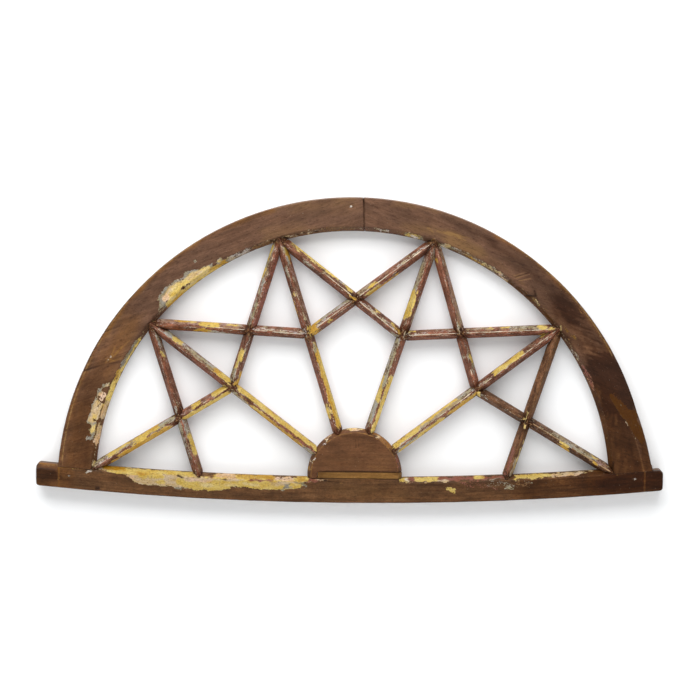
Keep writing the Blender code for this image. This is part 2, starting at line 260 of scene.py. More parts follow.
# ------------------------------------------------------------------ node trees
class Sheet:
    """A node tree with short ways to add and join nodes."""

    def __init__(self, tree: bpy.types.NodeTree) -> None:
        """Works on a tree that is already there."""
        self.tree = tree

    def add(self, kind: str, inputs: dict | None = None, **settings: object) -> bpy.types.Node:
        """Adds a node.

        Args:
            kind: the node's type, without the ShaderNode in front.
            inputs: sockets to links or values, by name or index.
            settings: the node's own properties.

        Returns:
            The new node.
        """
        node = self.tree.nodes.new("ShaderNode" + kind)
        for name, value in settings.items():
            setattr(node, name, value)
        for name, value in (inputs or {}).items():
            self.join(value, node.inputs[name])
        return node

    def join(self, value: object, socket: Socket) -> None:
        """Links a socket to another, or sets it to a plain value.

        Args:
            value: a socket, a number or a colour.
            socket: the input that takes it.
        """
        if isinstance(value, Socket):
            self.tree.links.new(value, socket)
        elif isinstance(value, tuple) and len(value) == 3 and socket.type == "RGBA":
            socket.default_value = (*value, 1.0)
        else:
            socket.default_value = value

    def math(self, operation: str, *values: object, clamp: bool = False) -> Socket:
        """A Math node's result."""
        node = self.add("Math", dict(enumerate(values)), operation=operation, use_clamp=clamp)
        return node.outputs[0]

    def times(self, first: object, second: object, clamp: bool = False) -> Socket:
        """The product of two values."""
        return self.math("MULTIPLY", first, second, clamp=clamp)

    def ramp(self, value: object, low: float, high: float) -> Socket:
        """0 below low, 1 above high, and a smooth step between.

        Args:
            value: what is read.
            low: where the step begins.
            high: where it ends.

        Returns:
            The result, from 0 to 1.
        """
        inputs = {"Value": value, "From Min": low, "From Max": high}
        node = self.add("MapRange", inputs, interpolation_type="SMOOTHSTEP")
        return node.outputs["Result"]

    def blend(self, share: object, first: object, second: object, mode: str = "MIX") -> Socket:
        """A mix of two colours."""
        inputs = {0: share, 6: first, 7: second}
        return self.add("Mix", inputs, data_type="RGBA", blend_type=mode).outputs[2]

    def shade(self, colour: object, value: object) -> Socket:
        """A colour made lighter or darker by a factor."""
        inputs = {"Vector": colour, "Scale": value}
        return self.add("VectorMath", inputs, operation="SCALE").outputs["Vector"]

    def noise(
        self, vector: object, scale: float | Place, detail: float = 2.0, rough: float = 0.5
    ) -> Socket:
        """A Noise texture's value, drawn out when it is given a scale along each axis.

        Args:
            vector: where the texture is read.
            scale: lumps per metre, or along each axis.
            detail: how many finer layers.
            rough: how strong they are.

        Returns:
            The texture's value.
        """
        if isinstance(scale, tuple):
            inputs = {"Vector": vector, "Scale": scale}
            vector = self.add("Mapping", inputs, vector_type="POINT").outputs["Vector"]
            scale = 1.0
        inputs = {"Vector": vector, "Scale": scale, "Detail": detail, "Roughness": rough}
        return self.add("TexNoise", inputs).outputs["Fac"]

    def attribute(self, name: str, output: str = "Fac") -> Socket:
        """A value that each mesh carries."""
        return self.add("Attribute", attribute_name=name).outputs[output]

    def group(self, tree: bpy.types.NodeTree, **inputs: object) -> bpy.types.Node:
        """A node group, with its inputs given by name (spaces as underscores).

        Args:
            tree: the group's tree.
            inputs: links or values by name.

        Returns:
            The new node.
        """
        node = self.add("Group", node_tree=tree)
        for name, value in inputs.items():
            self.join(value, node.inputs[name.replace("_", " ")])
        return node


@dataclass(frozen=True)
class Effect:
    """A node group that several finishes share.

    It takes a vector and values, each named with its default, and gives out named values.
    """

    name: str
    values: dict[str, float]
    results: Sequence[str]
    draw: Callable[[Sheet, dict], dict]

    def tree(self) -> bpy.types.NodeTree:
        """The node group, built when it is first asked for.

        Returns:
            The tree, shared by all that ask.
        """
        if self.name in bpy.data.node_groups:
            return bpy.data.node_groups[self.name]
        tree = bpy.data.node_groups.new(self.name, "ShaderNodeTree")
        add_socket = tree.interface.new_socket
        add_socket("Vector", in_out="INPUT", socket_type="NodeSocketVector")
        for name, value in self.values.items():
            add_socket(name, in_out="INPUT", socket_type="NodeSocketFloat").default_value = value
        for name in self.results:
            add_socket(name, in_out="OUTPUT", socket_type="NodeSocketFloat")
        given = tree.nodes.new("NodeGroupInput").outputs
        sheet = Sheet(tree)
        drawn = self.draw(sheet, {name: given[name] for name in ("Vector", *self.values)})
        out = tree.nodes.new("NodeGroupOutput").inputs
        for name, value in drawn.items():
            sheet.join(value, out[name])
        return tree


def draw_grain(sheet: Sheet, given: dict) -> dict:
    """Wood grain: broad figure, fine streaks and dark pores, all drawn out along X.

    Args:
        sheet: the group's own node tree.
        given: the group's inputs by name.

    Returns:
        The group's outputs by name.
    """
    vector = given["Vector"]
    wander = sheet.noise(vector, (3.0, 14.0, 14.0), 2.0)
    lift = sheet.times(sheet.math("SUBTRACT", wander, 0.5), given["Waviness"])
    offset = sheet.add("CombineXYZ", {"Z": lift}).outputs[0]
    bent = sheet.add("VectorMath", {0: vector, 1: offset}, operation="ADD").outputs[0]
    figure = sheet.noise(bent, (4.0, 60.0, 90.0), 4.0, 0.6)
    streaks = sheet.noise(bent, (14.0, 240.0, 300.0), 3.0, 0.65)
    pores = sheet.noise(bent, (130.0, 560.0, 640.0), 2.0, 0.6)
    lines = sheet.noise(bent, (9.0, 150.0, 220.0), 4.0, 0.7)
    clouds = sheet.noise(bent, (14.0, 30.0, 40.0), 3.0, 0.6)
    height = sheet.math("ADD", sheet.times(streaks, 0.6), sheet.times(pores, 0.4))
    return {
        "Figure": sheet.ramp(figure, 0.3, 0.7),
        "Streaks": sheet.ramp(streaks, 0.3, 0.72),
        "Pores": sheet.ramp(pores, 0.53, 0.70),
        "Lines": sheet.ramp(lines, 0.60, 0.72),
        "Clouds": sheet.ramp(clouds, 0.25, 0.75),
        "Height": height,
    }


def draw_flakes(sheet: Sheet, given: dict) -> dict:
    """Flaking paint: a share of it lost becomes flakes with a torn rim.

    Args:
        sheet: the group's own node tree.
        given: the group's inputs by name.

    Returns:
        The group's outputs by name.
    """
    vector = given["Vector"]
    coarse = sheet.noise(vector, (85.0, 150.0, 170.0), 3.0, 0.6)
    fine = sheet.noise(vector, (300.0, 430.0, 480.0), 2.0, 0.6)
    dots = sheet.noise(vector, 900.0, 1.0)
    mixed = sheet.math("MULTIPLY_ADD", coarse, 0.42, sheet.times(fine, 0.42))
    mixed = sheet.math("MULTIPLY_ADD", dots, 0.16, mixed)
    push = sheet.times(sheet.math("SUBTRACT", mixed, 0.5), given["Breakup"])
    level = sheet.math("ADD", given["Share"], push)
    gone = sheet.ramp(level, 0.5, 0.54)
    edge = sheet.ramp(level, 0.41, 0.5)
    tint = sheet.noise(vector, (45.0, 90.0, 110.0), 3.0, 0.65)
    return {
        "Gone": gone,
        # the band round each flake, where the material draws a painted shadow of the paint's edge
        "Rim": sheet.math("SUBTRACT", edge, gone, clamp=True),
        "Border": sheet.math("SUBTRACT", 1.0, sheet.ramp(level, 0.54, 0.72), clamp=True),
        "Height": sheet.times(sheet.ramp(level, 0.46, 0.58), -1.0),
        "Tint": sheet.ramp(tint, 0.34, 0.66),
        "Mottle": sheet.ramp(fine, 0.3, 0.7),
    }


def draw_rub(sheet: Sheet, given: dict) -> dict:
    """Rubbing along an arris, and on the bars' noses a painted highlight too, broken up so that it
    isn't one even line.

    Args:
        sheet: the group's own node tree.
        given: the group's inputs by name.

    Returns:
        The group's outputs by name.
    """
    breakup = sheet.noise(given["Vector"], (75.0, 330.0, 330.0), 4.0, 0.7)
    push = sheet.times(sheet.math("SUBTRACT", breakup, 0.5), 2.6)
    level = sheet.math("ADD", given["Amount"], push)
    reach = sheet.ramp(given["Amount"], 0.0, 0.12)
    return {"Mask": sheet.times(sheet.ramp(level, 0.5, 0.66), reach)}


def draw_dust(sheet: Sheet, given: dict) -> dict:
    """Pale specks and dark flecks scattered over a surface.

    Args:
        sheet: the group's own node tree.
        given: the group's inputs by name.

    Returns:
        The group's outputs by name.
    """
    spots = sheet.noise(given["Vector"], 420.0, 1.0)
    flecks = sheet.noise(given["Vector"], (260.0, 400.0, 400.0), 3.0, 0.7)
    return {"Specks": sheet.ramp(spots, 0.70, 0.78), "Flecks": sheet.ramp(flecks, 0.56, 0.65)}


GRAIN = Effect(
    "wood_grain", {"Waviness": 0.02},
    ("Figure", "Streaks", "Pores", "Lines", "Clouds", "Height"), draw_grain,
)
FLAKES = Effect(
    "flaking_paint", {"Share": 0.0, "Breakup": 2.6},
    ("Gone", "Rim", "Border", "Height", "Tint", "Mottle"), draw_flakes,
)
RUB = Effect("rubbed_arris_and_highlight", {"Amount": 0.0}, ("Mask",), draw_rub)
DUST = Effect("specks_and_flecks", {}, ("Specks", "Flecks"), draw_dust)


# ------------------------------------------------------------------ finishes
@dataclass(frozen=True)
class CoatedWood:
    """Wood under a thin dark coat, which is lost, rubbed or soiled where the mesh says so."""

    name: str
    slot: Slot
    body: Colour
    deep: Colour
    pale: Colour
    worn: Colour
    waviness: float = 0.020
    roughness: float = 0.55
    streaks: float = 0.5
    figure: float = 0.6
    pores: float = 0.5
    specks: float = 0.25
    mottle: float = 0.2
    grain_bump: float = 0.35
    paint_bump: float = 0.5
    specular: float = 0.12
    # what multiplies the coat where it is dark, warm, or sunk in the grain
    darkening: ClassVar[Colour] = (0.28, 0.21, 0.16)
    warming: ClassVar[Colour] = (1.08, 0.87, 0.44)
    pore_soil: ClassVar[Colour] = (0.22, 0.18, 0.14)
    # what multiplies an older coat in its warm and in its pale parts
    warm_part: ClassVar[Colour] = (0.97, 0.88, 0.66)
    pale_part: ClassVar[Colour] = (1.08, 1.12, 1.44)
    # brightness over streaks, clouds, mottle and borders: its swing and its least value
    worn_streaks: ClassVar[Point] = (0.7, 0.6)
    cloud_light: ClassVar[Point] = (0.5, 0.75)
    mottle_light: ClassVar[Point] = (0.38, 0.85)
    border_soil: ClassVar[Point] = (0.30, 0.65)
    lines: ClassVar[float] = 0.45
    # how dark the line round each flake is drawn: painted shadow of the paint's torn edge
    rim_painted_shadow: ClassVar[float] = 0.5
    crack_dirt: ClassVar[float] = 0.9
    green_border: ClassVar[float] = 0.30
    old_pores: ClassVar[float] = 0.22
    streak_roughness: ClassVar[float] = 0.14
    flake_roughness: ClassVar[float] = 0.1
    grain_height: ClassVar[float] = 0.6 * MM
    paint_height: ClassVar[float] = 0.5 * MM

    def material(self) -> bpy.types.Material:
        """The finish as a material, made once.

        Returns:
            The material.
        """
        found = bpy.data.materials.get(self.name)
        if found:
            return found
        made = bpy.data.materials.new(self.name)
        made.use_nodes = True
        sheet = Sheet(made.node_tree)
        shader = made.node_tree.nodes["Principled BSDF"]
        vector = sheet.attribute("grain", "Vector")
        laid = sheet.attribute("bench", "Vector")
        grain = sheet.group(GRAIN.tree(), Vector=vector, Waviness=self.waviness).outputs
        flakes = sheet.group(FLAKES.tree(), Vector=laid, Share=sheet.attribute("loss")).outputs
        rub = sheet.group(RUB.tree(), Vector=laid, Amount=sheet.attribute("rub")).outputs
        dust = sheet.group(DUST.tree(), Vector=laid).outputs
        top = self.top_coat(sheet, grain, flakes, dust)
        # paler wood or undercoat along the arrises: rubbing, and on the bars' noses a painted highlight
        top = sheet.blend(rub["Mask"], top, self.rubbed(sheet, grain))
        colour = sheet.blend(flakes["Gone"], top, self.old_coats(sheet, flakes, grain, dust))
        dark = self.constant(sheet, DARK.value)
        # a dark line round each flake: painted shadow of the edge of the paint
        colour = sheet.blend(sheet.times(flakes["Rim"], self.rim_painted_shadow), colour, dark)
        sink = sheet.times(sheet.attribute("sunk"), self.crack_dirt)
        sheet.join(sheet.blend(sink, colour, dark), shader.inputs["Base Color"])
        swing = self.streak_roughness
        rough = sheet.math("MULTIPLY_ADD", grain["Streaks"], swing, self.roughness - swing / 2)
        rough = sheet.math("ADD", rough, sheet.times(flakes["Gone"], self.flake_roughness))
        sheet.join(rough, shader.inputs["Roughness"])
        sheet.join(self.bump(sheet, grain, flakes), shader.inputs["Normal"])
        shader.inputs["Specular IOR Level"].default_value = self.specular
        return made

    @staticmethod
    def constant(sheet: Sheet, colour: Colour) -> Socket:
        """A plain colour to mix with others.

        Args:
            sheet: the material's node tree.
            colour: its red, green and blue.

        Returns:
            The colour as a link.
        """
        node = sheet.add("RGB")
        node.outputs[0].default_value = (*colour, 1.0)
        return node.outputs[0]

    def rubbed(self, sheet: Sheet, grain: dict) -> Socket:
        """The wood or undercoat that shows along rubbed arrises; on the bars' noses it is also a
        painted highlight.
        """
        value = sheet.math("MULTIPLY_ADD", grain["Streaks"], *self.worn_streaks)
        return sheet.shade(self.constant(sheet, self.worn), value)

    def top_coat(self, sheet: Sheet, grain: dict, flakes: dict, dust: dict) -> Socket:
        """The dark coat, with the grain showing through and lighter or darker passages.

        Args:
            sheet: the material's node tree.
            grain: the grain effect's outputs.
            flakes: the flaking effect's outputs.
            dust: the dust effect's outputs.

        Returns:
            Its colour.
        """
        share = sheet.math("MULTIPLY_ADD", grain["Figure"], self.figure, 1.0 - self.figure)
        colour = sheet.blend(share, self.deep, self.body)
        colour = sheet.blend(sheet.times(grain["Streaks"], self.streaks), colour, self.pale)
        colour = sheet.shade(colour, sheet.math("MULTIPLY_ADD", grain["Clouds"], *self.cloud_light))
        for part in ("Tint", "Mottle"):
            value = sheet.math("MULTIPLY_ADD", flakes[part], self.mottle, 1.0 - self.mottle / 2)
            colour = sheet.shade(colour, value)
        tone = sheet.attribute("tone")
        light = sheet.math("MAXIMUM", tone, 0.0)
        dark = sheet.math("MAXIMUM", sheet.times(tone, -1.0), 0.0)
        colour = sheet.blend(light, colour, self.worn)
        colour = sheet.blend(dark, colour, self.darkening, "MULTIPLY")
        colour = sheet.blend(sheet.attribute("warmth"), colour, self.warming, "MULTIPLY")
        for part, strength in (("Pores", self.pores), ("Lines", self.lines)):
            share = sheet.times(grain[part], strength)
            colour = sheet.blend(share, colour, self.pore_soil, "MULTIPLY")
        specks = sheet.times(dust["Specks"], self.specks)
        return sheet.blend(specks, colour, CHALK.value)

    def old_coats(self, sheet: Sheet, flakes: dict, grain: dict, dust: dict) -> Socket:
        """The older coats: each with its colour, mottled, and soiled in the grain.

        Args:
            sheet: the material's node tree.
            flakes: the flaking effect's outputs.
            grain: the grain effect's outputs.
            dust: the dust effect's outputs.

        Returns:
            Their colour.
        """
        colour = sheet.attribute("coat", "Color")
        warm = sheet.blend(1.0, colour, self.warm_part, "MULTIPLY")
        pale = sheet.blend(1.0, colour, self.pale_part, "MULTIPLY")
        colour = sheet.blend(flakes["Tint"], warm, pale)
        value = sheet.math("MULTIPLY_ADD", flakes["Mottle"], *self.mottle_light)
        colour = sheet.shade(colour, value)
        bright = sheet.times(sheet.attribute("coat", "Color"), 2.5, clamp=True)
        green = sheet.times(sheet.times(flakes["Border"], self.green_border), bright)
        colour = sheet.blend(green, colour, GREEN.value)
        soil = sheet.math("MULTIPLY_ADD", flakes["Border"], *self.border_soil)
        colour = sheet.blend(sheet.times(dust["Flecks"], soil), colour, self.deep)
        return sheet.blend(sheet.times(grain["Pores"], self.old_pores), colour, self.deep)

    def bump(self, sheet: Sheet, grain: dict, flakes: dict) -> Socket:
        """Raised grain under the edges of the paint.

        Args:
            sheet: the material's node tree.
            grain: the grain effect's outputs.
            flakes: the flaking effect's outputs.

        Returns:
            The normal.
        """
        inputs = {"Height": grain["Height"], "Strength": self.grain_bump}
        first = sheet.add("Bump", inputs | {"Distance": self.grain_height}).outputs[0]
        inputs = {"Height": flakes["Height"], "Normal": first}
        inputs |= {"Strength": self.paint_bump, "Distance": self.paint_height}
        return sheet.add("Bump", inputs).outputs[0]


STAIN = CoatedWood(
    "dark_stain", Slot.STAIN,
    body=(0.111, 0.054, 0.030), deep=(0.056, 0.027, 0.015), pale=(0.150, 0.080, 0.050),
    worn=(0.20, 0.107, 0.040), figure=0.5,
)
WARM_STAIN = CoatedWood(
    "dark_stain_warm", Slot.STAIN,
    body=(0.100, 0.042, 0.0145), deep=(0.042, 0.017, 0.006), pale=(0.135, 0.067, 0.029),
    worn=(0.17, 0.085, 0.022), waviness=0.008, streaks=0.65, figure=0.9, pores=0.65, mottle=0.35,
)
HUB_STAIN = CoatedWood(
    "dark_stain_hub", Slot.STAIN,
    body=(0.116, 0.047, 0.019), deep=(0.066, 0.026, 0.010), pale=(0.142, 0.067, 0.030),
    worn=(0.20, 0.095, 0.028), waviness=0.004, figure=0.75,
)
PAINT = CoatedWood(
    "red_brown_paint_worn", Slot.PAINT,
    body=(0.175, 0.059, 0.031), deep=(0.060, 0.022, 0.012), pale=(0.28, 0.135, 0.085),
    worn=(0.50, 0.43, 0.32), waviness=0.008, streaks=0.40, pores=0.9, specks=0.8, mottle=0.8,
)
PAINT_BROWN = CoatedWood(
    "brown_paint_worn", Slot.PAINT,
    body=(0.130, 0.058, 0.027), deep=(0.050, 0.021, 0.010), pale=(0.18, 0.09, 0.045),
    worn=(0.30, 0.19, 0.10), waviness=0.008, streaks=0.40, pores=0.9, specks=0.4, mottle=0.8,
)
NEW_WOOD = CoatedWood(
    "bare_strip_wood", Slot.NEW_WOOD,
    body=(0.174, 0.082, 0.019), deep=(0.108, 0.048, 0.013), pale=(0.215, 0.113, 0.032),
    worn=(0.21, 0.115, 0.042), waviness=0.006,
)


# ------------------------------------------------------------------ timber
def use_only(piece: Piece) -> None:
    """Deselects everything else, and makes a piece active.

    Args:
        piece: the piece.
    """
    bpy.ops.object.select_all(action="DESELECT")
    piece.select_set(True)
    bpy.context.view_layer.objects.active = piece


def apply_modifier(piece: Piece, kind: str, **settings: object) -> None:
    """Adds a modifier with its settings and applies it.

    Args:
        piece: the piece, which is the active one.
        kind: the modifier's type.
        settings: the modifier's own properties.
    """
    modifier = piece.modifiers.new(kind.lower(), kind)
    for name, value in settings.items():
        setattr(modifier, name, value)
    bpy.ops.object.modifier_apply(modifier=modifier.name)


def points_of(mesh: Mesh) -> Array:
    """A mesh's vertices as an N by 3 array.

    Args:
        mesh: the mesh.

    Returns:
        The positions, in metres.
    """
    flat = np.empty(len(mesh.vertices) * 3)
    mesh.vertices.foreach_get("co", flat)
    return flat.reshape(-1, 3)


def move_points(mesh: Mesh, points: Array) -> None:
    """Puts a mesh's vertices at new places."""
    mesh.vertices.foreach_set("co", points.astype(np.float32).ravel())
    mesh.update()


@dataclass
class Timber:
    """One piece of the sash.

    On the bench a piece lies straight: X runs along it from its left end, Y is the depth
    behind the front face, and Z is across it, up or outwards.
    """

    node: str
    finish: CoatedWood
    marks: list[Stroke] = field(default_factory=list)
    arrises: list[Arris] = field(default_factory=list)
    wear: float = 0.0
    under: Coat = CREAM
    # a factor on the old paint's colour all over the piece; on the bars it is painted shade
    coat_shade: float = 1.0
    rub_reach: float = 3.2 * MM
    mesh_size: float = 1.7 * MM
    arris_radius: float = 0.9 * MM
    seed: int = 0
    paint_wander: ClassVar[Point] = (4 * MM, 1.5 * MM)
    longest_edge: ClassVar[float] = 12 * MM
    most_halvings: ClassVar[int] = 4
    thickness: ClassVar[float] = CAD_BOX[1][1] - CAD_BOX[0][1]
    # how deep wear goes everywhere, in waves and in nicks along the arrises, in millimetres
    worn_depth: ClassVar[float] = 0.05
    wave_depth: ClassVar[float] = 0.35
    nick_depth: ClassVar[float] = 1.3
    nick_reach: ClassVar[float] = 2.6 * MM
    nick_level: ClassVar[float] = 0.35
    front_clearance: ClassVar[float] = 0.03 * MM
    depth_steps: ClassVar[int] = 255
    # where the plainer back begins, in steps of 6 mm behind the front
    back_step: ClassVar[float] = 6 * MM
    back_start: ClassVar[float] = 3.5
    back_saving: ClassVar[float] = 0.45
    # how soon an older coat's colour takes over inside its mark: its gain and its start
    coat_spread: ClassVar[Point] = (2.4, 0.3)
    grain_shift: ClassVar[float] = 3.7

    def to_bench(self, points: Array) -> Array:
        """Lays points of the piece straight on the bench.

        Args:
            points: points in place, in metres.

        Returns:
            The same points on the bench.
        """
        laid = points.copy()
        laid[:, 1] += self.thickness
        return laid

    def from_bench(self, laid: Array) -> Array:
        """Puts points on the bench back in place.

        Args:
            laid: points on the bench, in metres.

        Returns:
            The same points in place.
        """
        points = laid.copy()
        points[:, 1] -= self.thickness
        return points

    def grain_points(self, laid: Array, points: Array) -> Array:
        """Where each point lies in the plank that the piece was cut from, grain along X."""
        return laid

    def build(self) -> Piece:
        """Makes the piece, and puts it in place of its CAD node.

        Returns:
            The finished piece.
        """
        piece = self.copy_node()
        use_only(piece)
        self.merge(piece)
        move_points(piece.data, self.to_bench(points_of(piece.data)))
        self.mesh_closely(piece)
        laid = points_of(piece.data)
        self.carve(piece, laid)
        self.record_marks(piece, laid)
        move_points(piece.data, self.from_bench(points_of(piece.data)))
        piece.data.materials.clear()
        piece.data.materials.append(self.finish.material())
        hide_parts(self.node)
        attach(piece, BODY)
        LOG.info("%s: %d faces", piece.name, len(piece.data.polygons))
        return piece

    def copy_node(self) -> Piece:
        """A copy of the CAD node, with a mesh of its own.

        Returns:
            The copy, linked to the scene.
        """
        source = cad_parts[self.node]
        piece = bpy.data.objects.new(f"{self.node}_timber", source.data.copy())
        bpy.context.scene.collection.objects.link(piece)
        return piece

    def merge(self, piece: Piece, same: float = 0.001 * MM, flat: float = 0.8) -> None:
        """Turns loose triangles into whole flat faces with closely spaced edge points.

        Args:
            piece: the copied node.
            same: points nearer to each other than this are one.
            flat: the angle in degrees below which two faces count as one.
        """
        bpy.ops.object.mode_set(mode="EDIT")
        bpy.ops.mesh.select_all(action="SELECT")
        bpy.ops.mesh.remove_doubles(threshold=same)
        bpy.ops.mesh.dissolve_limited(angle_limit=math.radians(flat))
        bpy.ops.mesh.select_all(action="DESELECT")
        bpy.ops.object.mode_set(mode="OBJECT")
        for _ in range(self.most_halvings):
            lengths = self.edge_lengths(piece.data)
            piece.data.edges.foreach_set("select", lengths > self.longest_edge)
            if not (lengths > self.longest_edge).any():
                break
            bpy.ops.object.mode_set(mode="EDIT")
            bpy.ops.mesh.subdivide(number_cuts=1, ngon=True, quadcorner="INNERVERT")
            bpy.ops.object.mode_set(mode="OBJECT")

    @staticmethod
    def edge_lengths(mesh: Mesh) -> Array:
        """The length of every edge.

        Args:
            mesh: the mesh.

        Returns:
            One length for each edge, in metres.
        """
        ends = np.empty(len(mesh.edges) * 2, int)
        mesh.edges.foreach_get("vertices", ends)
        points = points_of(mesh)[ends.reshape(-1, 2)]
        return np.linalg.norm(points[:, 1] - points[:, 0], axis=1)

    def lumps(self, laid: Array, kind: Lumps) -> Array:
        """One kind of noise at each point, from 0 to 1."""
        size, step, layers = kind.value
        return layered_noise(laid / (np.array(size) * MM), self.seed + step, layers)

    def mesh_closely(self, piece: Piece) -> None:
        """Softens the arrises and gives the piece an even, close mesh.

        Args:
            piece: the piece on the bench.
        """
        apply_modifier(
            piece, "BEVEL", width=self.arris_radius, segments=2, limit_method="ANGLE",
            angle_limit=math.radians(20), use_clamp_overlap=True,
        )
        apply_modifier(piece, "REMESH", mode="VOXEL", voxel_size=self.mesh_size, use_smooth_shade=True)
        apply_modifier(piece, "SMOOTH", factor=0.5, iterations=2)

    def carve(self, piece: Piece, laid: Array) -> None:
        """Sinks cracks, dents and nicks, and lets flat faces wander a little.

        Args:
            piece: the piece on the bench.
            laid: its points there.
        """
        waves = self.lumps(laid, Lumps.WAVES)
        nicks = self.lumps(laid, Lumps.NICKS)
        rubbed = self.rubbing(laid, self.nick_reach)
        sunk = self.worn_depth * MM + self.wave_depth * MM * (1 - waves)
        sunk += rubbed * np.clip(nicks - self.nick_level, 0, 1) * self.nick_depth * MM
        for mark in self.of_kind(Cut):
            sunk += mark.sink * MM * mark.cover(laid, nicks)
        group = piece.vertex_groups.new(name="sunk")
        deepest = float(sunk.max())
        steps = np.round(sunk / deepest * self.depth_steps).astype(int)
        for step in np.unique(steps):
            group.add(np.flatnonzero(steps == step).tolist(), step / self.depth_steps, "REPLACE")
        apply_modifier(piece, "DISPLACE", strength=-deepest, mid_level=0.0, vertex_group="sunk")
        piece.vertex_groups.clear()
        # nothing stands proud of the CAD model's front
        points = points_of(piece.data)
        points[:, 1] = np.maximum(points[:, 1], self.front_clearance)
        move_points(piece.data, points)

    def rubbing(self, laid: Array, reach: float) -> Array:
        """How near each point is to a rubbed arris, from 0 to 1.

        Args:
            laid: points on the bench, in metres.
            reach: how far from an arris the rubbing goes, in metres.

        Returns:
            A level from 0 to 1 for each point.
        """
        level = np.zeros(len(laid))
        for arris in self.arrises:
            gap = np.hypot(laid[:, 2] - arris.across * MM, laid[:, 1] - arris.depth * MM)
            level = np.maximum(level, arris.rub * np.clip(1 - gap / reach, 0, 1))
        return level

    def of_kind(self, kind: type) -> Iterable[Stroke]:
        """The piece's marks of one kind, in order."""
        return (mark for mark in self.marks if isinstance(mark, kind))

    def record_marks(self, piece: Piece, laid: Array) -> None:
        """Writes the marks on the mesh, for the material to read.

        Args:
            piece: the piece on the bench.
            laid: its points there before carving.
        """
        border = self.lumps(laid, Lumps.BORDER)
        soft = self.lumps(laid, Lumps.SOFT_BORDER)
        behind = np.clip(laid[:, 1] / self.back_step - self.back_start, 0, 1)
        loss = self.wear * (1 - self.back_saving * behind)
        coat = np.tile(self.under.value, (len(laid), 1))
        flecks = self.lumps(laid, Lumps.FLECKS) - 0.5
        wandering = self.wander(laid)
        gain, start = self.coat_spread
        for mark in self.of_kind(Loss):
            level = mark.cover(wandering, border)
            here = np.clip(level * gain - start + flecks, 0, 1)[:, None] * (mark.share > 0)
            coat += (np.array(mark.coat.value) - coat) * here
            loss += (mark.share - loss) * level
        coat *= self.coat_shading(laid)[:, None]
        tone = np.zeros(len(laid))
        for mark in self.of_kind(Tone):
            tone += mark.value * mark.cover(laid, soft)
        warmth = np.zeros(len(laid))
        for mark in self.of_kind(Warmth):
            warmth = np.maximum(warmth, mark.value * mark.cover(laid, soft))
        sunk = np.zeros(len(laid))
        for mark in self.of_kind(Cut):
            sunk = np.maximum(sunk, mark.dark * mark.cover(laid, border))
        grain = self.grain_points(laid, self.from_bench(laid)) + self.seed * self.grain_shift
        values = {
            "bench": laid, "grain": grain, "coat": np.column_stack([coat, np.ones(len(laid))]),
            "loss": loss, "tone": tone, "warmth": warmth,
            "rub": self.rubbing(laid, self.rub_reach), "sunk": sunk,
        }
        for name, value in values.items():
            self.write(piece.data, name, value)

    def wander(self, laid: Array) -> Array:
        """Shifts points a little, so that old paint ends in an uneven border.

        Args:
            laid: points on the bench, in metres.

        Returns:
            The shifted points.
        """
        moved = laid.copy()
        along, across = self.paint_wander
        moved[:, 0] += (self.lumps(laid, Lumps.WANDER_ALONG) - 0.5) * 2 * along
        moved[:, 2] += (self.lumps(laid, Lumps.WANDER_ACROSS) - 0.5) * 2 * across
        return moved

    def coat_shading(self, laid: Array) -> Array:
        """The factor on the old paint at each point: the piece's coat shade."""
        return np.full(len(laid), self.coat_shade)

    @staticmethod
    def write(mesh: Mesh, name: str, values: Array) -> None:
        """Stores one value, vector or colour for each vertex.

        Args:
            mesh: the mesh.
            name: the attribute's name.
            values: what it holds.
        """
        kinds = {1: ("FLOAT", "value"), 3: ("FLOAT_VECTOR", "vector"), 4: ("FLOAT_COLOR", "color")}
        kind, key = kinds[1 if values.ndim == 1 else values.shape[1]]
        layer = mesh.attributes.new(name, kind, "POINT")
        layer.data.foreach_set(key, values.astype(np.float32).ravel())


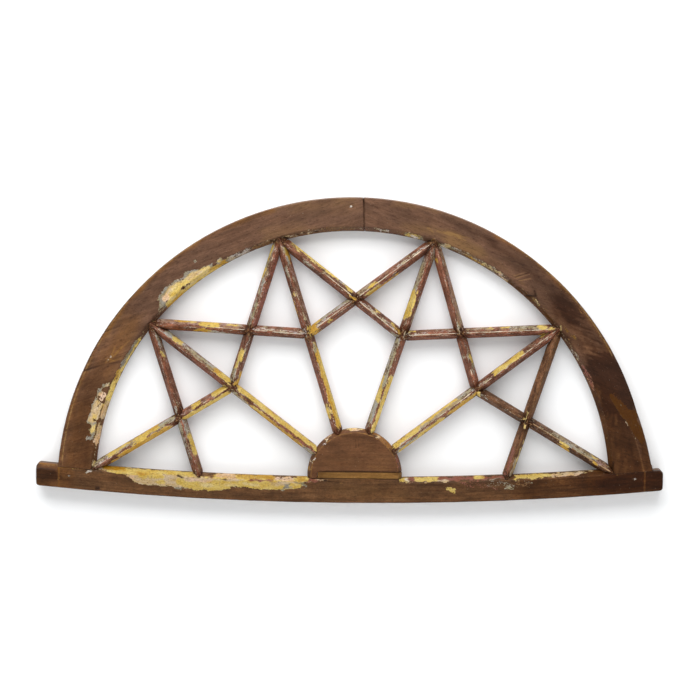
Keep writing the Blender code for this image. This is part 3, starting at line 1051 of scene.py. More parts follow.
@dataclass
class ArchHalf(Timber):
    """Half of the arch, cut from one plank whose grain runs straight.

    On the bench Z is the distance outwards from the opening's edge. sound is where the stain
    is still whole, in millimetres along the bench.
    """

    opening_radius: ClassVar[float] = 476.4 * MM
    opening_rise: ClassVar[float] = 9.0 * MM
    bench_radius: ClassVar[float] = 512.0 * MM
    outer_rise: ClassVar[float] = 64.0
    outer_inset: ClassVar[float] = 1.3
    joint_point: ClassVar[Point] = (17 * MM, 512 * MM)
    joint_tilt: ClassVar[float] = math.radians(2.0)
    joint_reach: ClassVar[float] = 1.4 * MM
    joint_gap: ClassVar[float] = 0.05 * MM
    sound_fade: ClassVar[float] = 20
    sound_saving: ClassVar[float] = 0.75
    rub_reach: float = 2.5 * MM
    grain_turn: float = 0.0
    joint_side: float = 1.0
    sound: Point = (0.0, 0.0)

    def __post_init__(self) -> None:
        """Sets the long edges that the section gives."""
        outer_edge = self.outer_rise - self.outer_inset
        self.arrises = [Arris(outer_edge, 0.0, 1.0), Arris(0.0, 13.0, 0.6)]

    def rubbing(self, laid: Array, reach: float) -> Array:
        """How rubbed each point is: the arrises, but hardly where the stain is still sound.

        Args:
            laid: points on the bench, in metres.
            reach: how far from an arris the rubbing goes, in metres.

        Returns:
            A level from 0 to 1 for each point.
        """
        level = super().rubbing(laid, reach)
        along = laid[:, 0] / MM
        first, last = self.sound
        inside = np.clip((along - first) / self.sound_fade, 0, 1)
        inside *= np.clip((last - along) / self.sound_fade, 0, 1)
        return level * (1 - self.sound_saving * inside)

    def opening_edge(self, angle: Array) -> Array:
        """The opening's radius about the origin at each angle."""
        rise = self.opening_rise
        return rise * np.sin(angle) + np.sqrt(self.opening_radius**2 - (rise * np.cos(angle)) ** 2)

    def to_bench(self, points: Array) -> Array:
        """Unrolls the arch from its left foot.

        Args:
            points: points in place, in metres.

        Returns:
            The same points on the bench.
        """
        angle = np.arctan2(points[:, 2], points[:, 0])
        radius = np.hypot(points[:, 0], points[:, 2])
        along = (math.pi - angle) * self.bench_radius
        across = radius - self.opening_edge(angle)
        return np.column_stack([along, points[:, 1] + self.thickness, across])

    def from_bench(self, laid: Array) -> Array:
        """Rolls the arch up again.

        Args:
            laid: points on the bench, in metres.

        Returns:
            The same points in place.
        """
        angle = math.pi - laid[:, 0] / self.bench_radius
        radius = laid[:, 2] + self.opening_edge(angle)
        depth = laid[:, 1] - self.thickness
        return np.column_stack([radius * np.cos(angle), depth, radius * np.sin(angle)])

    def grain_points(self, laid: Array, points: Array) -> Array:
        """Turns the plank's grain along X.

        Args:
            laid: points on the bench, in metres.
            points: the same points in place.

        Returns:
            Where they lie in the plank.
        """
        cos, sin = math.cos(self.grain_turn), math.sin(self.grain_turn)
        x, y, z = points.T
        return np.column_stack([x * cos + z * sin, y, z * cos - x * sin])

    def carve(self, piece: Piece, laid: Array) -> None:
        """Carves the mesh, and squares the end at the crown joint again.

        Args:
            piece: the piece on the bench.
            laid: its points there.
        """
        super().carve(piece, laid)
        points = self.from_bench(points_of(piece.data))
        outward = np.array([math.cos(self.joint_tilt), 0.0, math.sin(self.joint_tilt)])
        outward *= self.joint_side
        beyond = (points - (self.joint_point[0], 0.0, self.joint_point[1])) @ outward
        rounded = beyond > -self.joint_reach
        points[rounded] -= (beyond[rounded] + self.joint_gap)[:, None] * outward
        move_points(piece.data, self.to_bench(points))


@dataclass
class BottomRail(Timber):
    """The bottom rail, straightened on the bench. Z is the height above its top edge."""

    sag_radius: ClassVar[float] = 5.92
    low_point: ClassVar[Point] = (-6 * MM, 29 * MM)
    height: ClassVar[float] = 47.5

    def __post_init__(self) -> None:
        """Sets the long edges that the section gives."""
        self.arrises = [
            Arris(-9.5, 0.0, 0.35),
            Arris(0.0, 13.0, 0.35),
            Arris(-self.height, 0.0, 0.3),
        ]

    def top_edge(self, x: Array) -> Array:
        """The height of the rail's top edge at each x."""
        return self.low_point[1] + (x - self.low_point[0]) ** 2 / (2 * self.sag_radius)

    def to_bench(self, points: Array) -> Array:
        """Takes the bow out of the rail.

        Args:
            points: points in place, in metres.

        Returns:
            The same points on the bench.
        """
        laid = super().to_bench(points)
        laid[:, 2] -= self.top_edge(points[:, 0])
        return laid

    def from_bench(self, laid: Array) -> Array:
        """Bows the rail again.

        Args:
            laid: points on the bench, in metres.

        Returns:
            The same points in place.
        """
        points = super().from_bench(laid)
        points[:, 2] += self.top_edge(laid[:, 0])
        return points


@dataclass
class GlazingBar(Timber):
    """A glazing bar, turned level on the bench. Z is the distance from its centre line."""

    wear: float = 0.26
    under: Coat = CHALK
    # the bars' old paint is drawn darker all over: painted shade against the strong light from above
    coat_shade: float = 0.88
    rub_reach: float = 1.9 * MM
    mesh_size: float = 1.42 * MM
    # how pale the nose's upper arris is drawn: rubbed paint, and a painted highlight where the light
    # from above catches it
    worn_line: float = 0.6
    crossings: Sequence[float] = ()
    paint_wander: ClassVar[Point] = (10 * MM, 2.2 * MM)
    start: Array = field(init=False)
    along: Array = field(init=False)
    length: float = field(init=False)
    half_width: ClassVar[float] = 9.75
    half_nose: ClassVar[float] = 2.3
    corner_reach: ClassVar[float] = 6.0
    lower_slope: ClassVar[float] = 3 * MM
    # how much lighter the old paint is drawn on the lower slope: painted light
    lower_slope_painted_light: ClassVar[float] = 0.38
    front_layer: ClassVar[float] = 0.1 * MM

    def __post_init__(self) -> None:
        """Reads the bar's line from the longest edges of its CAD node."""
        self.arrises = [
            # the nose's upper arris: rubbed paint and a painted highlight
            Arris(self.half_nose, 0.0, self.worn_line),
            Arris(-self.half_nose, 0.0, 0.45),
            Arris(self.half_width, 13.0, 0.6),
            Arris(-self.half_width, 13.0, 0.5),
        ]
        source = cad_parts[self.node].data
        ends = np.empty(len(source.edges) * 2, int)
        source.edges.foreach_get("vertices", ends)
        points = points_of(source)
        front = points[:, 1] < points[:, 1].min() + self.front_layer
        ends = ends.reshape(-1, 2)
        nose = points[ends[front[ends].all(axis=1)]]
        runs = nose[:, 1] - nose[:, 0]
        long_run = runs[np.argmax(np.linalg.norm(runs, axis=1))]
        flat = np.array([long_run[0], 0.0, long_run[2]])
        self.along = flat / np.linalg.norm(flat) * math.copysign(1.0, flat[0])
        across = np.cross(self.along, (0.0, 1.0, 0.0))
        edge_line = points[front] @ across
        middle = (edge_line.min() + edge_line.max()) / 2
        run = points @ self.along
        self.start = self.along * run.min() + across * middle
        self.length = float(run.max() - run.min())
        self.marks = [*self.corner_darkening(), *self.marks]

    def corners(self) -> tuple[float, ...]:
        """Where the bar meets others: its two ends and its crossings, in millimetres."""
        return (0.0, self.length / MM, *self.crossings)

    def corner_darkening(self) -> Iterable[Stroke]:
        """Darker, warmer patches in the corners, with crumbs of old paint in them.

        Yields:
            Its strokes.
        """
        for at in self.corners():
            spot = (at, 0.0), (at, 0.0)
            yield Tone(*spot, 13, -1.1, soft=6, ragged=10)
            yield Warmth(*spot, 12, 0.7, soft=6, ragged=8)
            yield Loss(*spot, 11, BARE, 0.44, soft=4)

    def coat_shading(self, laid: Array) -> Array:
        """The bar's coat shade, with painted light on the lower slope, which faces away from the light
        above.
        """
        lower = np.clip(0.5 - laid[:, 2] / self.lower_slope, 0.0, 1.0)
        return self.coat_shade * (1.0 + self.lower_slope_painted_light * lower)

    def rubbing(self, laid: Array, reach: float) -> Array:
        """How rubbed each point is: the arrises, except in the corners.

        Args:
            laid: points on the bench, in metres.
            reach: how far from an arris the rubbing goes, in metres.

        Returns:
            A level from 0 to 1 for each point.
        """
        level = super().rubbing(laid, reach)
        for at in self.corners():
            gap = np.abs(laid[:, 0] / MM - at)
            level *= np.clip(gap / self.corner_reach - 1.0, 0.0, 1.0)
        return level

    def turn(self) -> Array:
        """The bench's axes as rows."""
        return np.array([self.along, (0.0, 1.0, 0.0), np.cross(self.along, (0.0, 1.0, 0.0))])

    def to_bench(self, points: Array) -> Array:
        """Turns the bar level."""
        return super().to_bench((points - self.start) @ self.turn().T)

    def from_bench(self, laid: Array) -> Array:
        """Turns the bar back to its slope."""
        return super().from_bench(laid) @ self.turn() + self.start


@dataclass
class Hub(Timber):
    """The half-round hub, or the strip let in under it."""

    mesh_size: float = 1.4 * MM
    centre: ClassVar[Point] = (4 * MM, 32.5 * MM)
    radius: ClassVar[float] = 88 * MM
    # how far inside the radius each rubbed rim lies, its depth and how rubbed it is
    rims: ClassVar[tuple] = ((6.5 * MM, 0.0, 0.8), (0.0, 13 * MM, 0.6))

    def rubbing(self, laid: Array, reach: float) -> Array:
        """How near each point is to the rim of the face or of the edge.

        Args:
            laid: points on the bench, in metres.
            reach: how far from an arris the rubbing goes, in metres.

        Returns:
            A level from 0 to 1 for each point.
        """
        out = np.hypot(laid[:, 0] - self.centre[0], laid[:, 2] - self.centre[1])
        level = np.zeros(len(laid))
        for inset, depth, rub in self.rims:
            gap = np.hypot(out - self.radius + inset, laid[:, 1] - depth)
            level = np.maximum(level, rub * np.clip(1 - gap / reach, 0, 1))
        return level


# ------------------------------------------------------------------ studio
@dataclass(frozen=True)
class Studio:
    """A white wall and floor, a large soft light above and the camera."""

    distance: float = 5.0
    elevation: float = math.radians(5.5)
    roll: float = math.radians(0.51)
    frame_width: float = 1.2895
    aim: Place = (-6.6 * MM, -40 * MM, 267 * MM)
    wall: Colour = (0.96, 0.965, 0.97)
    wall_size: float = 9.0
    wall_gap: float = 0.5 * MM
    glow: Colour = (0.92, 0.99, 1.0)
    wall_glow: float = 0.06
    wall_roughness: float = 0.9
    wall_specular: float = 0.1
    floor_size: float = 60.0
    floor_height: float = -1.1
    sky: float = 0.38
    lit_point: Place = (0.0, 0.0, 0.25)
    sensor_width: float = 36.0
    far_end: float = 100.0

    def build(self) -> None:
        """Makes everything that isn't the object."""
        self.make_wall()
        self.make_floor()
        self.make_lights()
        self.make_camera()
        world = bpy.data.worlds.new("studio")
        bpy.context.scene.world = world
        world.use_nodes = True
        background = world.node_tree.nodes["Background"]
        background.inputs["Color"].default_value = (1.0, 1.0, 1.0, 1.0)
        background.inputs["Strength"].default_value = self.sky
        bpy.context.scene.view_settings.view_transform = "Standard"

    def plane(self, name: str, size: float, place: Place, tilt: float) -> Piece:
        """A large square facing up, or towards -Y when tilted by a right angle.

        Args:
            name: the object's and the material's name.
            size: its side, in metres.
            place: its middle.
            tilt: its turn about X, in radians.

        Returns:
            The plane.
        """
        bpy.ops.mesh.primitive_plane_add(size=size, location=place, rotation=(tilt, 0.0, 0.0))
        made = bpy.context.object
        made.name = name
        material = bpy.data.materials.new(name)
        material.use_nodes = True
        shader = material.node_tree.nodes["Principled BSDF"]
        shader.inputs["Base Color"].default_value = (*self.wall, 1.0)
        shader.inputs["Roughness"].default_value = self.wall_roughness
        shader.inputs["Specular IOR Level"].default_value = self.wall_specular
        made.data.materials.append(material)
        return made

    def make_wall(self) -> None:
        """The wall behind the sash. It can be seen and cast on from the front only."""
        wall = self.plane("wall", self.wall_size, (0.0, self.wall_gap, 0.0), math.radians(90))
        wall.visible_shadow = False
        tree = wall.data.materials[0].node_tree
        shader = tree.nodes["Principled BSDF"]
        shader.inputs["Emission Color"].default_value = (*self.glow, 1.0)
        shader.inputs["Emission Strength"].default_value = self.wall_glow
        sheet = Sheet(tree)
        behind = sheet.add("NewGeometry").outputs["Backfacing"]
        clear = sheet.add("BsdfTransparent").outputs[0]
        mixed = sheet.add("MixShader", {0: behind, 1: shader.outputs[0], 2: clear}).outputs[0]
        sheet.join(mixed, tree.nodes["Material Output"].inputs["Surface"])

    def make_floor(self) -> None:
        """A pale floor well below the sash."""
        self.plane("floor", self.floor_size, (0.0, 0.0, self.floor_height), 0.0)

    def light(self, name: str, place: Place, size: Point, power: float) -> None:
        """An area light that faces the sash.

        Args:
            name: the light's name.
            place: where it hangs.
            size: its width and height, in metres.
            power: watts.
        """
        lamp = bpy.data.lights.new(name, "AREA")
        lamp.shape = "RECTANGLE"
        lamp.size, lamp.size_y = size
        lamp.energy = power
        held = bpy.data.objects.new(name, lamp)
        bpy.context.scene.collection.objects.link(held)
        held.location = place
        aim = Vector(self.lit_point) - Vector(place)
        held.rotation_euler = aim.to_track_quat("-Z", "Y").to_euler()

    def make_lights(self) -> None:
        """A wide soft light above, and one behind for the back of the sash."""
        self.light("key", (-0.3, -1.4, 2.2), (3.0, 2.3), 106.0)
        self.light("back", (0.8, 2.5, 2.2), (2.5, 2.5), 60.0)

    def make_camera(self) -> None:
        """The camera, nearly level, with a long lens."""
        camera = bpy.data.cameras.new("camera")
        held = bpy.data.objects.new("camera", camera)
        bpy.context.scene.collection.objects.link(held)
        bpy.context.scene.camera = held
        view = Vector((0.0, math.cos(self.elevation), -math.sin(self.elevation)))
        place = Matrix.Translation(Vector(self.aim) - view * self.distance)
        look = view.to_track_quat("-Z", "Y").to_matrix().to_4x4()
        held.matrix_world = place @ look @ Matrix.Rotation(self.roll, 4, "Z")
        camera.sensor_width = self.sensor_width
        camera.lens = camera.sensor_width * self.distance / self.frame_width
        camera.clip_end = self.far_end


# ------------------------------------------------------------------ the sash
class Face(Enum):
    """Part of a bar's front: its middle and its half width across the bar, in millimetres."""

    UPPER = (6.0, 3.7)
    UPPER_EDGE = (8.3, 1.6)
    UPPER_INNER = (4.0, 2.0)
    NOSE = (0.0, 2.2)
    LOWER = (-6.0, 3.7)
    LOWER_EDGE = (-8.3, 1.6)
    LOWER_INNER = (-4.0, 2.0)


UP, EDGE, INNER, NOSE, LOW, LOW_EDGE, LOW_INNER = Face
BRIGHT_COATS = (YELLOW, LEMON, OCHRE, GOLD)
# how much of the loss that is asked for a chalky and a dull coat show on a bar
CHALK_HOLD = 0.7
DULL_HOLD = 0.82
# a flake's round ends lie this many half widths inside it, or at most this share of its length
END_TUCK = 0.7
MOST_TUCK = 0.45
# fibres' lengths as a share of their run, and strengths as a share of their value
FIBRE_LENGTHS = (0.4, 1.3)
FIBRE_STRENGTHS = (0.5, 1.0)


def flake(face: Face, start: float, end: float, coat: Coat, share: float = 1.0) -> Loss:
    """Lost paint on one face of a bar.

    Args:
        face: the face, or the part of it.
        start: where it begins, in millimetres from the bar's left end.
        end: where it ends.
        coat: the older coat that shows.
        share: how much of the top coat is gone.

    Returns:
        The stroke for it.
    """
    middle, half = face.value
    if coat is CHALK:
        share *= CHALK_HOLD
    elif coat not in BRIGHT_COATS:
        share *= DULL_HOLD
    tuck = min(half * END_TUCK, (end - start) * MOST_TUCK)
    ends = (start + tuck, middle), (end - tuck, middle)
    return Loss(*ends, half, coat, share, soft=1.4, ragged=1.6)


def fibres(
    first: Point, last: Point, number: int, width: Point, run: Point, values: Point, seed: int
) -> Iterable[Tone]:
    """Short parallel streaks of raised or dirty fibres.

    Args:
        first: one corner of the area that they fill, in millimetres.
        last: the other corner.
        number: how many.
        width: the half width, and how far a streak fades.
        run: a streak's length along and across.
        values: the darkest and the lightest streak.
        seed: picks their places.

    Yields:
        The streaks.
    """
    chance = np.random.default_rng(seed)
    for _ in range(number):
        x, z = chance.uniform(np.minimum(first, last), np.maximum(first, last))
        size = chance.uniform(*FIBRE_LENGTHS)
        end = (x + run[0] * size, z + run[1] * size)
        value = chance.choice(values) * chance.uniform(*FIBRE_STRENGTHS)
        yield Tone((x, z), end, width[0], value, soft=width[1], ragged=1.2)


def scratches(lines: Sequence[tuple[Point, Point]]) -> Iterable[Tone]:
    """Thin light scratches, each between two points in millimetres."""
    for start, end in lines:
        yield Tone(start, end, (0.5, 0.35), 1.15, soft=1.3, ragged=0.7)


CROWN_JOINT = Cut((823, 0), (819, 64), 1.3, 0.4, soft=0.9, ragged=0.2)


def arch_left() -> ArchHalf:
    """The left half of the arch, with two old patches of bared paint.

    Returns:
        The piece, ready to build.
    """
    marks: list[Stroke] = [
        # the whole bevel, then from the foot up to the first ray
        Loss((40, 5), (822, 5), 3.5, CREAM, 0.36), Loss((51, 3), (57, 3), (2.4, 2), STRAW, 0.9),
        Loss((96, 4), (127, 5), (3, 4), PINK), Loss((112, 7), (130, 5), (2, 3), CREAM, 0.9),
        Loss((147, 5), (188, 5), 4, CREAM), Loss((150, 8), (170, 8), 2, PINK),
        Loss((186, 5), (226, 5), 4.5, LEMON), Loss((225, 3), (320, 3), (3, 2.5), LEMON, 0.75),
        Loss((226, 7), (248, 7), 2, OCHRE, 0.8), Loss((256, 7), (312, 7), (2, 1.5), GREEN, 0.8),
        # small patch on the face
        Loss((102, 20), (106, 13), 4, GREEN, 0.85), Loss((112, 15), (130, 16), (4, 6), GREEN, 0.9),
        Loss((118, 16), (128, 15), (3, 3.5), STRAW, 0.9),
        Loss((134, 26), (170, 24), (4, 5), GREEN, 0.9), Loss((134, 16), (134, 24), 4, GREEN),
        Loss((139, 21), (168, 19), 7, CREAM), Loss((140, 13), (172, 13), 2.5, CREAM),
        Loss((138, 17), (146, 18), 3, STRAW), Loss((137, 17), (138, 16), (1.6, 1.3), YELLOW, 0),
        Loss((159, 17), (160, 15.5), (1.6, 1.4), YELLOW, 0),
        Loss((165, 17), (166, 15.5), (1.5, 1.4), YELLOW, 0),
        Loss((170, 15.5), (171, 15), (1.2, 1), YELLOW, 0),
        Loss((179, 25), (196, 23), (2.5, 3), GREEN, 0.9), Loss((184, 18), (191, 16), 6, PINK),
        Loss((182, 21), (185, 18), (1.6, 1.4), PINK, 0),
        Loss((192, 15), (192.5, 14), (1.1, 1), PINK, 0),
        Loss((388, 10), (394, 11), (1.5, 1.4), GREEN, 0.6), Loss((198, 24), (207, 22), 1.7, GREEN, 0.9),
        Loss((207, 21), (213, 13), (2.2, 2.5), GREEN, 0.9), Loss((209, 14), (212, 15), (2, 1.5), CREAM),
        # large patch on the face and bevel
        Loss((400, 12), (404, 20), 6, GREEN, 0.9), Loss((406, 24), (424, 28), (4.5, 4), GREEN, 0.9),
        Loss((424, 28), (446, 27.5), (3.5, 3), GREEN, 0.9),
        Loss((448, 24), (486, 22), (2, 3), GREEN, 0.85), Loss((466, 24), (474, 24), 4, GREEN),
        Loss((484, 20), (520, 12), (2.5, 3), GREEN, 0.8), Loss((415, 17), (434, 18), (6.5, 8), PINK),
        Loss((426, 21), (446, 21), (5, 4), CREAM), Loss((440, 15), (511, 11.5), (9, 3), STRAW),
        Loss((424, 13), (462, 12), 4, YELLOW, 0.95), Loss((470, 16), (496, 13), (2.5, 2), CREAM),
        Loss((408, 4), (546, 4), (5, 4), YELLOW), Loss((420, 7), (520, 7), (1.6, 1.4), STRAW, 0.95),
        Loss((404, 1), (440, 0.5), (1.6, 1.2), OCHRE, 0.8),
        Loss((512, 6), (548, 4), (1.5, 3), OCHRE, 0.85),
        Loss((448, 8.3), (454, 7.6), (1.6, 1.4), YELLOW, 0), Cut((448, 8.3), (454, 7.6), (1.2, 1), 1.5),
        Loss((461, 7.6), (464, 7.4), (1.1, 1), YELLOW, 0), Loss((532, 11), (540, 14), (3, 2.5), GREEN),
        Loss((534, 11), (536, 12), (1.5, 1.3), STRAW),
        # bevel towards the crown
        Loss((552, 4), (592, 5), (4, 2.5), GREEN, 0.9), Loss((556, 5), (598, 6), (2.2, 2), CHALK, 0.52),
        Loss((104, 9.4), (232, 9.2), (0.8, 0.7), share=0.2, soft=0.9, ragged=1),
        Loss((622, 5), (640, 5), (3, 4), CREAM, 0.52), Loss((634, 2), (640, 2), 2, STRAW, 0.8),
        Cut((641, 6), (648, 2), (1.6, 1.4), 1), Cut((668, 6), (674, 1), (1.6, 1.4), 1),
        Loss((672, 4), (740, 5), (3.2, 3), CREAM, 0.5), Cut((690, 5), (697, 4), (1.3, 1.2), 0.9),
        Cut((705, 7), (709, 5), 1.2, 0.9), Cut((728, 4), (733, 4), (1.3, 1.1), 0.9),
        Loss((742, 4), (800, 4), 3, BARE, 0.5), Loss((742, 10), (756, 10), (1.6, 1.4), AMBER, 0.5),
        Loss((606, 4), (640, 3), 3, BARE, 0.6),
        # specks, the filled nail hole, scratches and shakes
        Loss((498, 35), (499.5, 34), (3.2, 3), GREEN, 0.75),
        Loss((709, 41), (715, 41), 0.9, WHITE, 0.8, soft=0.9, ragged=0.4),
        Loss((250, 33), (262, 32), (1.5, 1.3), BUFF, 0.75, soft=1.2, ragged=1.2),
        *scratches([
            ((248, 35), (266, 30)), ((257, 31), (280, 34)), ((252, 29), (270, 12)),
            ((264, 28), (288, 23)), ((254, 38), (258, 24)), ((270, 27), (306, 18)),
        ]),
        Cut((797, 46), (797.1, 46), 2.6, 0.5, 0, ragged=0.3),
        Loss((797, 46), (797.1, 46), 2.7, DARK, soft=0.6, ragged=0.3),
        CROWN_JOINT,
        Loss((797, 46), (797.1, 46), 1.5, WHITE, soft=0.8, ragged=0.1),
        Cut((217, 65), (227, 54), (1.5, 1.2), 1.5, soft=0.6),
        Cut((227, 54), (237, 43), (0.9, 0.8), 1, soft=0.6), Cut((233, 47), (262, 12), (0.6, 0.5), 0.6),
        Cut((292, 66), (322, 45), (0.7, 0.5), 0.8), Cut((120, 60), (150, 26), (0.4, 0.3), 0.4),
        Cut((340, 40), (372, 30), (0.4, 0.3), 0.4),
        # broad tones
        Warmth((40, 30), (150, 35), (36, 34), 0.85), Warmth((150, 35), (330, 30), (34, 18), 0.6),
        Warmth((60, 63), (420, 62), (4, 3), 1, soft=4, ragged=4),
        Warmth((420, 61), (660, 60), 3, 0.8, soft=4, ragged=4),
        *fibres((60, 60), (210, 34), 26, (0.5, 3.0), (11, -7), (-0.30, 0.42), seed=3),
        *fibres((90, 62), (340, 52), 30, (0.5, 3.0), (12, -8), (-0.30, 0.40), seed=5),
        *fibres((300, 50), (400, 20), 12, (0.5, 3.0), (14, -7), (-0.22, 0.26), seed=6),
        Tone((50, 35), (200, 45), (26, 18), -0.34), Tone((52, 14), (110, 24), (9, 8), -0.22),
        Tone((235, 20), (330, 30), (14, 22), 0.14), Tone((60, 61), (420, 61), 2, 0.3, soft=3),
        Tone((430, 60), (800, 60), 2, 0.24, soft=3),
        Tone((240, 65.5), (800, 65.5), 1.6, -0.5, soft=1, ragged=0.4),
        Tone((640, 16), (700, 14), (8, 6), 0.45), Tone((700, 52), (800, 50), (7, 8), 0.22),
        Tone((715, 8), (805, 8), (4, 5), 0.3, soft=5), Tone((335, 8), (378, 8), 9, -0.45, soft=6),
        Tone((230, 40), (262, 14), 2, -0.3, soft=4), Tone((350, 50), (420, 44), 7, -0.14),
        Tone((430, 42), (600, 44), (14, 12), -0.14),
    ]
    return ArchHalf("arch_left", STAIN, marks, seed=11, grain_turn=math.radians(19))


def arch_right() -> ArchHalf:
    """The right half of the arch: darker, with sapwood at the foot's outer edge.

    Returns:
        The piece, ready to build.
    """
    marks: list[Stroke] = [
        # bevel and the joint's edge
        Loss((822, 5), (1395, 5), 3.5, CREAM, 0.36),
        CROWN_JOINT,
        Loss((854, 5), (870, 6), 2, WHITE, 0.65), Loss((888, 5), (905, 4), (2.5, 3), BARE, 0.7),
        Loss((904, 6), (934, 4), (2.5, 4), GREEN, 0.75), Loss((908, 6), (930, 7), (2, 1.4), STRAW, 0.6),
        Loss((905, 3), (928, 3), (1.4, 1.2), YELLOW, 0.6), Loss((914, 3), (924, 3), 1.2, WHITE, 0.9),
        Loss((958, 7), (966, 0), (5, 6), BARE, soft=0.7, ragged=0.8),
        Loss((961, 6), (962, 1), (2.2, 2.6), PINK, 0.9, soft=0.7, ragged=0.8),
        Loss((976, 4), (998, 6), 3, GREEN, 0.7), Loss((984, 7), (990, 7), (2, 1.5), CREAM),
        Loss((977, 2), (987, 1), (1.6, 1.3), WHITE), Loss((1000, 4), (1104, 5), (3.6, 4), SAGE, 0.58),
        Loss((1004, 6), (1046, 6), (2, 1.6), BUFF, 0.5),
        Loss((1056, 5), (1098, 5), (2, 1.6), STRAW, 0.5), Loss((1024, 3), (1062, 3), 1.5, OCHRE, 0.54),
        Loss((1100, 5), (1103, 5), (1.5, 1.2), PINK),
        Loss((1104, 2), (1126, 1), (1.6, 1.2), CREAM, 0.8),
        Loss((1125, 4), (1240, 4), 3.5, SAPWOOD, 0.62),
        Loss((1184, 9), (1197, 8), (3, 2.5), HONEY, 0.56),
        Loss((1188, 9), (1195, 8), (1.5, 1.3), STRAW, 0.58),
        Loss((1308, 4), (1330, 4), (1.6, 1.3), CHALK, 0.56),
        Loss((1345, 6), (1400, 6), (2.6, 2.2), RED, 0.7), Loss((1400, 4), (1545, 4), 3, SAPWOOD, 0.5),
        Loss((1254, 12), (1262, 9), (3, 2.5), STRAW, 0.54),
        Loss((1260, 16), (1292, 20), (3.4, 3), HONEY, 0.62),
        Loss((1080, 62), (1340, 63), (2.6, 2.2), HONEY, 0.58),
        Loss((1236, 56), (1262, 58), (2.4, 2.2), AMBER, 0.42),
        Loss((1205, 12), (1235, 12), (1.8, 1.6), HONEY, 0.6),
        Loss((1282, 10), (1300, 10), (1.4, 1.3), AMBER, 0.5),
        Cut((1543, 9), (1564, 3), (1.6, 2.4), 1.5),
        # sapwood
        Loss((1412, 30), (1500, 60), (18, 20), SAPWOOD, 0.05, soft=4),
        Loss((1419, 33), (1460, 49), (4.5, 10), SAPWOOD, soft=2.5, ragged=2.5),
        Loss((1462, 52), (1500, 63), (10, 8), SAPWOOD, soft=2.5, ragged=2.5),
        Loss((1494, 62), (1508, 67), (5, 7), SAPWOOD, soft=2.5, ragged=2.5),
        Tone((1512, 69), (1588, 80), (8, 11), -0.42, soft=4, ragged=2),
        Loss((1459, 52), (1464, 66), 7, SAPWOOD, soft=1.5, ragged=2),
        Loss((1472, 43), (1508, 54), 0.8, BUFF, 0.5, soft=1, ragged=0.6),
        Tone((1508, 55), (1590, 68), 0.5, 1, soft=1.5, ragged=1),
        # knot, shakes and scratches
        Cut((1168, 4), (1180, 14), (1.6, 2.2), 1.4), Cut((1181, 15), (1172, 21), (2, 1.2), 1),
        Cut((1181, 15), (1190, 12), (1.6, 1), 0.8),
        Loss((1176, 22), (1182, 19), (0.9, 0.8), CREAM, 0.6, soft=0.9, ragged=0.6),
        Cut((1128, 17), (1143, 38), (0.9, 0.6), 0.6, 0.7),
        Cut((1136, 17), (1149, 34), (0.8, 0.6), 0.6, 0.6),
        Cut((1093, 22), (1106, 31), (0.8, 0.6), 0.5, 0.6),
        *scratches([((1130, 17), (1145, 38)), ((1125, 18), (1138, 36)), ((1138, 16), (1152, 33))]),
        *scratches([
            ((958, 25), (985, 27)), ((970, 27), (1002, 29)), ((976, 30), (1000, 32)),
            ((994, 31), (1018, 35)), ((1000, 27), (1014, 28)), ((940, 26), (952, 22)),
        ]),
        Loss((955, 24), (956, 14), 0.5, DARK, 0.7),
        # broad tones
        Tone((850, 30), (930, 44), (20, 14), -0.16), Tone((900, 20), (950, 20), (7, 8), 0.4),
        Tone((985, 20), (1045, 18), (10, 9), 0.75), Tone((1045, 25), (1110, 20), (9, 6), 0.16),
        Tone((870, 58), (1060, 59), (4, 3), 0.4, soft=5), Tone((1060, 60), (1250, 60), 3, 0.3, soft=4),
        Tone((960, 51), (1060, 50), 8, -0.45, soft=7), Tone((1060, 46), (1250, 42), (13, 19), -0.52),
        Tone((1225, 40), (1345, 34), (24, 30), -0.6),
        Warmth((1060, 62), (1340, 62), 4, 1, soft=4, ragged=4),
        Warmth((1240, 20), (1340, 40), (18, 22), 0.4), Warmth((1400, 14), (1570, 30), (20, 44), 1),
        Warmth((1500, 68), (1590, 78), (11, 14), 1, soft=4),
        *fibres((1215, 56), (1345, 24), 40, (0.5, 2.6), (13, 10), (-0.60, 0.60), seed=7),
        *fibres((1290, 60), (1400, 30), 24, (0.5, 2.6), (14, 12), (-0.40, 0.50), seed=8),
        *fibres((1100, 50), (1215, 14), 22, (0.6, 3.0), (12, 5), (-0.45, 0.36), seed=9),
        *fibres((1420, 36), (1560, 12), 22, (0.6, 3.0), (14, -4), (-0.40, 0.50), seed=10),
        Tone((1245, 16), (1300, 30), 4, 0.42, soft=5), Tone((1322, 24), (1362, 48), 1.5, 0.3, soft=3),
        Tone((1380, 48), (1445, 54), (26, 18), -1.1), Tone((1364, 28), (1425, 26), (22, 18), -0.9),
        Tone((1440, 24), (1570, 26), (26, 34), -0.78), Tone((1440, 48), (1570, 74), (12, 14), -0.35),
        Tone((1500, 12), (1552, 15), 5, 0.26, soft=5), Tone((1240, 8), (1275, 8), 8, -0.4, soft=6),
        Tone((940, 6), (975, 6), 5, -0.3, soft=5),
    ]
    return ArchHalf(
        "arch_right", STAIN, marks, seed=23, grain_turn=math.radians(-21), joint_side=-1.0,
        sound=(1350.0, 1620.0),
    )


